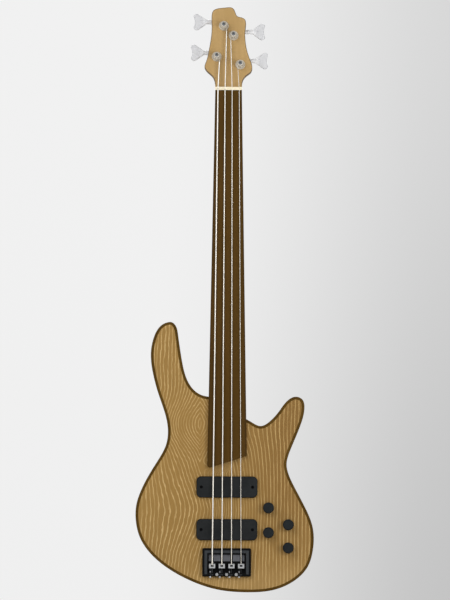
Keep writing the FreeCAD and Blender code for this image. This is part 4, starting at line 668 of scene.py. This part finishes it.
def intonation_steel():
    """A blackened shaft with a painted highlight ring and a bare head behind the bridge."""
    finish = Finish("intonation_steel", Metallic=0.8)
    spot, x, y, z = finish.place()
    head = finish.smooth(z, shaft_end_z + blend_width, shaft_end_z)
    ring = finish.smooth(abs(z - ring_z), ring_half + blend_width, ring_half)
    smears = finish.noise(spot, 400.0, 3.0)
    bare = finish.mix(smears, *screw_tones)
    colour = finish.mix(head, shaft_tone, bare)
    # Painted highlight: the pale ring.
    colour = finish.mix(ring, colour, ring_highlight_tone)
    finish.bump(smears, smear_depth)
    return finish.paint(Base_Color=colour, Roughness=finish.smooth(smears, *noise_span, *screw_gloss))


finishes["saddle_metal"] = saddle_metal()
finishes["intonation_steel"] = intonation_steel()
print("saddle slots end", slot_end, "m behind the saddle line")

# %% [markdown]
# ## Plastics, bone, rubber and wire
#
# Pickup covers, knobs and the back cover are moulded in a nearly black plastic with a fine pebble, the nut is
# cream bone with faint streaks, the hidden sleeves are soft rubber, and the coils are fine copper wire. The
# mouldings differ in the size of their pebble and in how much light they send straight back.

# %% Moulded and soft finishes
pebble_depth, pebble_strength, gloss_spread = 0.00005, 0.5, 0.12


def moulded(name, light, dark, pebble_scale, gloss):
    finish = Finish(name, Specular_IOR_Level=0.14)
    spot, x, y, z = finish.place()
    pebbles = finish.noise(spot, pebble_scale)
    clouds = finish.noise(spot, 45.0, 3.0)
    colour = finish.mix(finish.smooth(clouds, *noise_span), light, dark)
    finish.bump(pebbles, pebble_depth, pebble_strength)
    rough = finish.smooth(clouds, *noise_span, gloss, gloss + gloss_spread)
    return finish.paint(Base_Color=colour, Roughness=rough)


for name, light, dark, pebble_scale, gloss in (
    ("black_cover", tone(33, 35, 36), tone(27, 29, 30), 1500.0, 0.5),
    ("black_knob", tone(28, 33, 35), tone(23, 27, 29), 1200.0, 0.46),
    ("sleeve_rubber", tone(34, 34, 34), tone(26, 26, 26), 700.0, 0.75),
    ("wire_cover", tone(46, 46, 48), tone(36, 36, 38), 600.0, 0.55),
):
    finishes[name] = moulded(name, light, dark, pebble_scale, gloss)
    print(name, "roughness from", gloss)

# %% Nut of bone
streak_depth, bone_gloss = 0.00004, (0.34, 0.46)
bone_tones = tone(250, 238, 208), tone(236, 220, 184)


def bone():
    finish = Finish("pale_nut", Subsurface_Weight=0.05, Subsurface_Scale=0.002)
    spot, x, y, z = finish.place()
    streaks = finish.noise(spot, 900.0, stretch=(0.3, 1.0, 1.0))
    colour = finish.mix(finish.smooth(streaks, *smear_span), *bone_tones)
    finish.bump(streaks, streak_depth)
    return finish.paint(Base_Color=colour, Roughness=finish.smooth(streaks, *noise_span, *bone_gloss))


finishes["pale_nut"] = bone()
print("finish of the nut:", finishes["pale_nut"].name)

# %% Coil: fine copper wire on a black bobbin
turn_scale, turn_waver, turn_depth, turn_strength = 1600.0, 0.4, 0.00006, 0.6
groove_rough, ridge_rough = 0.15, 0.35
copper_and_groove_shade_tones = tone(150, 82, 44), tone(108, 56, 30)


def coil_winding():
    finish = Finish("coil_winding")
    spot, x, y, z = finish.place()
    turns = finish.waves(spot, "Y", turn_scale, turn_waver)
    # Painted shade in the grooves between the turns of copper.
    colour = finish.mix(turns, *copper_and_groove_shade_tones)
    finish.bump(turns, turn_depth, turn_strength)
    return finish.paint(Base_Color=colour, Roughness=turns * groove_rough + ridge_rough, Metallic=0.7)


finishes["coil_winding"] = coil_winding()
print("finishes:", len(finishes))

# %% [markdown]
# ## Dressing the solids
#
# Each solid already names a material slot in its record. Most take the finish of that name; a few pieces of
# one slot look different, such as the posts, whose ends carry painted shade and a painted highlight inside
# their pale bushings, so they are named.

# %% Give each solid its finish
slots = {part["node"]: part["material_slot"] for part in frame["record"]["subparts"]}
own_finish = {
    "post_bushings": "bush_nickel",
    "neck_pickup_screws": "black_screw",
    "bridge_pickup_screws": "black_screw",
    **{"string_post_" + name: "post_steel_" + name for name in string_names},
    **{"string_" + name: "string_wire_" + name for name in string_names},
    **{"tuner_key_" + name: "satin_key_" + name for name in string_names},
    **{"intonation_screw_" + name: "intonation_steel" for name in string_names},
}
for node, slot in slots.items():
    nodes[node].data.materials.clear()
    nodes[node].data.materials.append(finishes[own_finish.get(node, slot)])
print("dressed", len(slots), "solids")

# %% [markdown]
# ## Strings and sleeves in slices
#
# Three kinds of joint pull on something that bends: a tuner winds its string, a saddle slides below one, and
# a pickup squeezes the two rubber sleeves that it stands on. Left rigid, these would be cut by the piece that
# moves. Bones would do, but each of them only joins two bodies, so a copy of the solid is sliced instead
# where the pull ends, and the slices take the solid's place.

# %% Slices of a solid between two heights
smooth_below, weld_reach = math.radians(35), 1e-6


def slice_of(node, name, low, high):
    """A copy of a solid between two heights, with the same place and finish."""
    mesh = nodes[node].data.copy()
    cutter = bmesh.new()
    cutter.from_mesh(mesh)
    bmesh.ops.remove_doubles(cutter, verts=cutter.verts[:], dist=weld_reach)
    for height, away in ((low, -1.0), (high, 1.0)):
        everything = cutter.verts[:] + cutter.edges[:] + cutter.faces[:]
        cut = bmesh.ops.bisect_plane(cutter, geom=everything, plane_co=(0.0, 0.0, height),
                                     plane_no=(0.0, 0.0, away), clear_outer=True)
        rim = [edge for edge in cut["geom_cut"] if isinstance(edge, bmesh.types.BMEdge)]
        bmesh.ops.holes_fill(cutter, edges=rim)
    cutter.to_mesh(mesh)
    cutter.free()
    mesh.shade_smooth()
    mesh.set_sharp_from_angle(angle=smooth_below)
    piece = bpy.data.objects.new(name, mesh)
    bpy.context.scene.collection.objects.link(piece)
    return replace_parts(piece, node)


print("slices are smooth below", round(math.degrees(smooth_below)), "degrees")

# %% Each string: a wound end, a long run and a tail behind the saddle
far_below, far_above = -2.0, 2.0
run_top, crest_z = -0.30, -0.8638
for name in string_names:
    node, saddle, post = "string_" + name, "saddle_" + name, "post_" + name
    post_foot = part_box("string_post_" + name)[0].z
    wound = slice_of(node, node + "_wound_end", run_top, far_above)
    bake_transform(wound)
    run = slice_of(node, node + "_run", crest_z, run_top)
    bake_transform(run)
    tail = slice_of(node, node + "_tail", far_below, crest_z)
    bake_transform(tail)
    print(node, [len(piece.data.polygons) for piece in (wound, run, tail)], "faces")

# %% The sleeves of each pickup
between_pickups = -0.76
for label, low, high in (("neck", between_pickups, far_above), ("bridge", far_below, between_pickups)):
    sleeves = slice_of("pickup_sleeves", label + "_pickup_sleeves", low, high)
    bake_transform(sleeves)
    print(sleeves.name, len(sleeves.data.polygons), "faces")

# %% [markdown]
# ## Knurled knobs
#
# A smooth knob slips, so real ones carry fine ribs all round. Ribs repeat, which is what Geometry Nodes are
# for: a circle of points, one slim rib on each, and the whole ring turned to face forward. The ribs of each
# knob become their own mesh and ride on that knob's body, so they turn with it.

# %% A tree that rings a knob with ribs
rib_sides = 8
rib_inputs = (
    ("Count", "NodeSocketInt"), ("Ring Radius", "NodeSocketFloat"), ("Rib Radius", "NodeSocketFloat"),
    ("Rib Length", "NodeSocketFloat"), ("Middle", "NodeSocketVector"), ("Finish", "NodeSocketMaterial"),
)


def rib_tree():
    """The tree, and the identifier of each of its named inputs."""
    tree = bpy.data.node_groups.new("rib_ring", "GeometryNodeTree")
    identifiers = {}
    for name, kind in rib_inputs:
        socket = tree.interface.new_socket(name=name, in_out="INPUT", socket_type=kind)
        identifiers[name] = socket.identifier
    tree.interface.new_socket(name="Geometry", in_out="OUTPUT", socket_type="NodeSocketGeometry")
    entry, ring, rib, copies, real, turn, paint, leave = [tree.nodes.new(kind) for kind in (
        "NodeGroupInput", "GeometryNodeMeshCircle", "GeometryNodeMeshCylinder",
        "GeometryNodeInstanceOnPoints", "GeometryNodeRealizeInstances", "GeometryNodeTransform",
        "GeometryNodeSetMaterial", "NodeGroupOutput")]
    rib.inputs["Vertices"].default_value = rib_sides
    turn.inputs["Rotation"].default_value = (math.pi / 2, 0.0, 0.0)
    for source, outlet, target, inlet in (
        (entry, "Count", ring, "Vertices"), (entry, "Ring Radius", ring, "Radius"),
        (entry, "Rib Radius", rib, "Radius"), (entry, "Rib Length", rib, "Depth"),
        (ring, "Mesh", copies, "Points"), (rib, "Mesh", copies, "Instance"),
        (copies, "Instances", real, "Geometry"), (real, "Geometry", turn, "Geometry"),
        (entry, "Middle", turn, "Translation"), (turn, "Geometry", paint, "Geometry"),
        (entry, "Finish", paint, "Material"), (paint, "Geometry", leave, "Geometry"),
    ):
        tree.links.new(source.outputs[outlet], target.inputs[inlet])
    return tree, identifiers


rib_ring, rib_identifiers = rib_tree()
print("rib tree:", len(rib_ring.nodes), "nodes")


# %% Ribs for the four knobs
def grown(name, tree, identifiers, values):
    """The tree's result as a plain mesh object at the origin."""
    seed = bpy.data.objects.new(name + "_seed", bpy.data.meshes.new(name + "_seed"))
    bpy.context.scene.collection.objects.link(seed)
    modifier = seed.modifiers.new("grow", "NODES")
    modifier.node_group = tree
    for key, value in values.items():
        modifier[identifiers[key]] = value
    graph = bpy.context.evaluated_depsgraph_get()
    mesh = bpy.data.meshes.new_from_object(seed.evaluated_get(graph))
    bpy.data.objects.remove(seed)
    piece = bpy.data.objects.new(name, mesh)
    bpy.context.scene.collection.objects.link(piece)
    return piece


rib_count, rib_radius, rib_sink = 44, 0.00042, 0.00022
knob_radius, knob_foot, rib_length = 0.00985, -0.0012, 0.0112
for knob in ("neck_volume", "neck_tone", "bridge_volume", "bridge_tone"):
    low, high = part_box(knob + "_knob")
    middle = (low + high) / 2
    piece = grown(knob + "_ribs", rib_ring, rib_identifiers, {
        "Count": rib_count, "Ring Radius": knob_radius - rib_sink, "Rib Radius": rib_radius,
        "Rib Length": rib_length, "Middle": (middle.x, knob_foot - rib_length / 2, middle.z),
        "Finish": finishes["black_knob"],
    })
    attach(piece, knob)
    print(piece.name, len(piece.data.polygons), "faces")

# %% [markdown]
# ## The stage
#
# The instrument stands on a pale floor before a pale backdrop, which painted shade darkens a little to the
# right and towards the bottom. Paper that is only lit would turn white near a lamp and grey far from it, so
# both show a set tone to the camera and in reflections, and stay plain paper for all other light. Near the
# instrument the floor is left as it is, and keeps the shadow.

# %% Stage papers
paper_white = (0.8, 0.8, 0.8, 1.0)
backdrop_tones, floor_tone = (tone(241, 241, 241), tone(196, 196, 196)), tone(222, 222, 222)
shadow_reach, far_floor = 0.35, 1.3
low_backdrop, right_backdrop, low_lean = (0.2, -1.1), (-0.12, 0.50), 0.07
right_share, low_right_share, low_share = 0.63, 0.35, 0.04


def seen_directly(finish):
    """1 for the camera, for reflections and through clear pieces, and 0 for all other light."""
    camera_ray = finish.node("ShaderNodeLightPath", output="Is Camera Ray")
    glossy_ray = finish.node("ShaderNodeLightPath", output="Is Glossy Ray")
    clear_ray = finish.node("ShaderNodeLightPath", output="Is Transmission Ray")
    return camera_ray.most(glossy_ray).most(clear_ray)


def glowing_to_camera(finish, colour, share):
    """Show a set colour to the camera and in reflections, and plain paper to other light."""
    glow = finish.node("ShaderNodeEmission", inputs={"Color": colour, "Strength": 1.0})
    paper = Term(finish, finish.shader.outputs["BSDF"])
    both = finish.node("ShaderNodeMixShader", inputs={0: seen_directly(finish) * share, 1: paper, 2: glow})
    finish.feed(finish.tree.nodes["Material Output"].inputs["Surface"], both)
    return finish.material


def backdrop_paper():
    finish = Finish("backdrop_paper", Base_Color=paper_white, Specular_IOR_Level=0.0)
    spot, x, y, z = finish.place()
    low = finish.smooth(z, *low_backdrop)
    right = finish.smooth(x + low * low_lean, *right_backdrop)
    # Painted shade: darker to the right and towards the bottom.
    shade = right * (low * low_right_share + right_share) + low * low_share
    return glowing_to_camera(finish, finish.mix(shade, *backdrop_tones), 1.0)


def floor_paper():
    """Paper that keeps the shadow near the instrument and is an even pale tone far from it."""
    finish = Finish("floor_paper", Base_Color=paper_white, Roughness=0.8)
    spot, x, y, z = finish.place()
    away = finish.smooth((x * x + y * y).power(0.5), shadow_reach, far_floor)
    return glowing_to_camera(finish, floor_tone, away)


print("the floor keeps the shadow within", shadow_reach, "m")

# %% Floor and backdrop
stage_reach, backdrop_y, backdrop_foot = 9.0, 4.0, -1.2
floor_gap = 0.0005
floor_z = cad_low.z - floor_gap


def panel(name, corners, material):
    mesh = bpy.data.meshes.new(name)
    mesh.from_pydata(corners, [], [(0, 1, 2, 3)])
    mesh.materials.append(material)
    thing = bpy.data.objects.new(name, mesh)
    bpy.context.scene.collection.objects.link(thing)


left, right = -stage_reach, stage_reach
panel("backdrop", [(left, backdrop_y, backdrop_foot), (right, backdrop_y, backdrop_foot),
                   (right, backdrop_y, stage_reach), (left, backdrop_y, stage_reach)], backdrop_paper())
panel("floor", [(left, -stage_reach, floor_z), (right, -stage_reach, floor_z),
                (right, backdrop_y, floor_z), (left, backdrop_y, floor_z)], floor_paper())
print("floor height in metres:", round(floor_z, 4))

# %% [markdown]
# ## Light and camera
#
# Three large soft lamps and an even sky give a plain level of light, at which a colour renders about as it is
# written: a key lamp from the upper left, a fill lamp from the right and a rear lamp for the back. The sky is
# a world and not a material, but its nodes are of the same kind, so it borrows the sums. The picture is a
# flat front view, so the camera is orthographic: no lens could stand far enough away.

# %% Lamps
def lamp(name, place, aim, width, power):
    data = bpy.data.lights.new(name, "AREA")
    data.size = width
    data.energy = power
    thing = bpy.data.objects.new(name, data)
    thing.location = place
    thing.rotation_euler = (Vector(aim) - Vector(place)).to_track_quat("-Z", "Y").to_euler()
    bpy.context.scene.collection.objects.link(thing)
    print(name, power, "W")


middle, body_middle = (0.0, 0.0, -0.4), (0.0, 0.0, -0.6)
lamp("key_lamp", (-1.6, -2.6, 1.2), middle, 3.0, 54.0)
lamp("fill_lamp", (1.7, -2.2, -0.25), body_middle, 1.3, 27.0)
lamp("rear_lamp", (0.6, 2.2, 1.4), middle, 1.6, 34.0)


# %% Sky
class Sky(Finish):
    """The world around the stage, built with the same sums as a finish."""

    def __init__(self, name):
        self.start(bpy.data.worlds.new(name), "Background")


sky_strength, seen_extra, sky_colour = 0.36, 0.34, (0.9, 0.91, 0.92, 1.0)
sky = Sky("even_sky")
sky_level = seen_directly(sky) * seen_extra + sky_strength
bpy.context.scene.world = sky.paint(Color=sky_colour, Strength=sky_level)
bpy.context.scene.view_settings.view_transform = "Standard"
print("sky strength:", sky_strength)

# %% Camera
frame_height, frame_middle, frame_roll = 1.092, (-0.00495, -0.3822), -0.24
camera_y = -3.0
lens = bpy.data.cameras.new("front_camera")
lens.type = "ORTHO"
lens.sensor_fit = "VERTICAL"
lens.ortho_scale = frame_height
camera = bpy.data.objects.new("front_camera", lens)
camera.location = (frame_middle[0], camera_y, frame_middle[1])
camera.rotation_euler = (math.pi / 2, math.radians(frame_roll), 0.0)
bpy.context.scene.collection.objects.link(camera)
bpy.context.scene.camera = camera
print("frame height in metres:", frame_height)
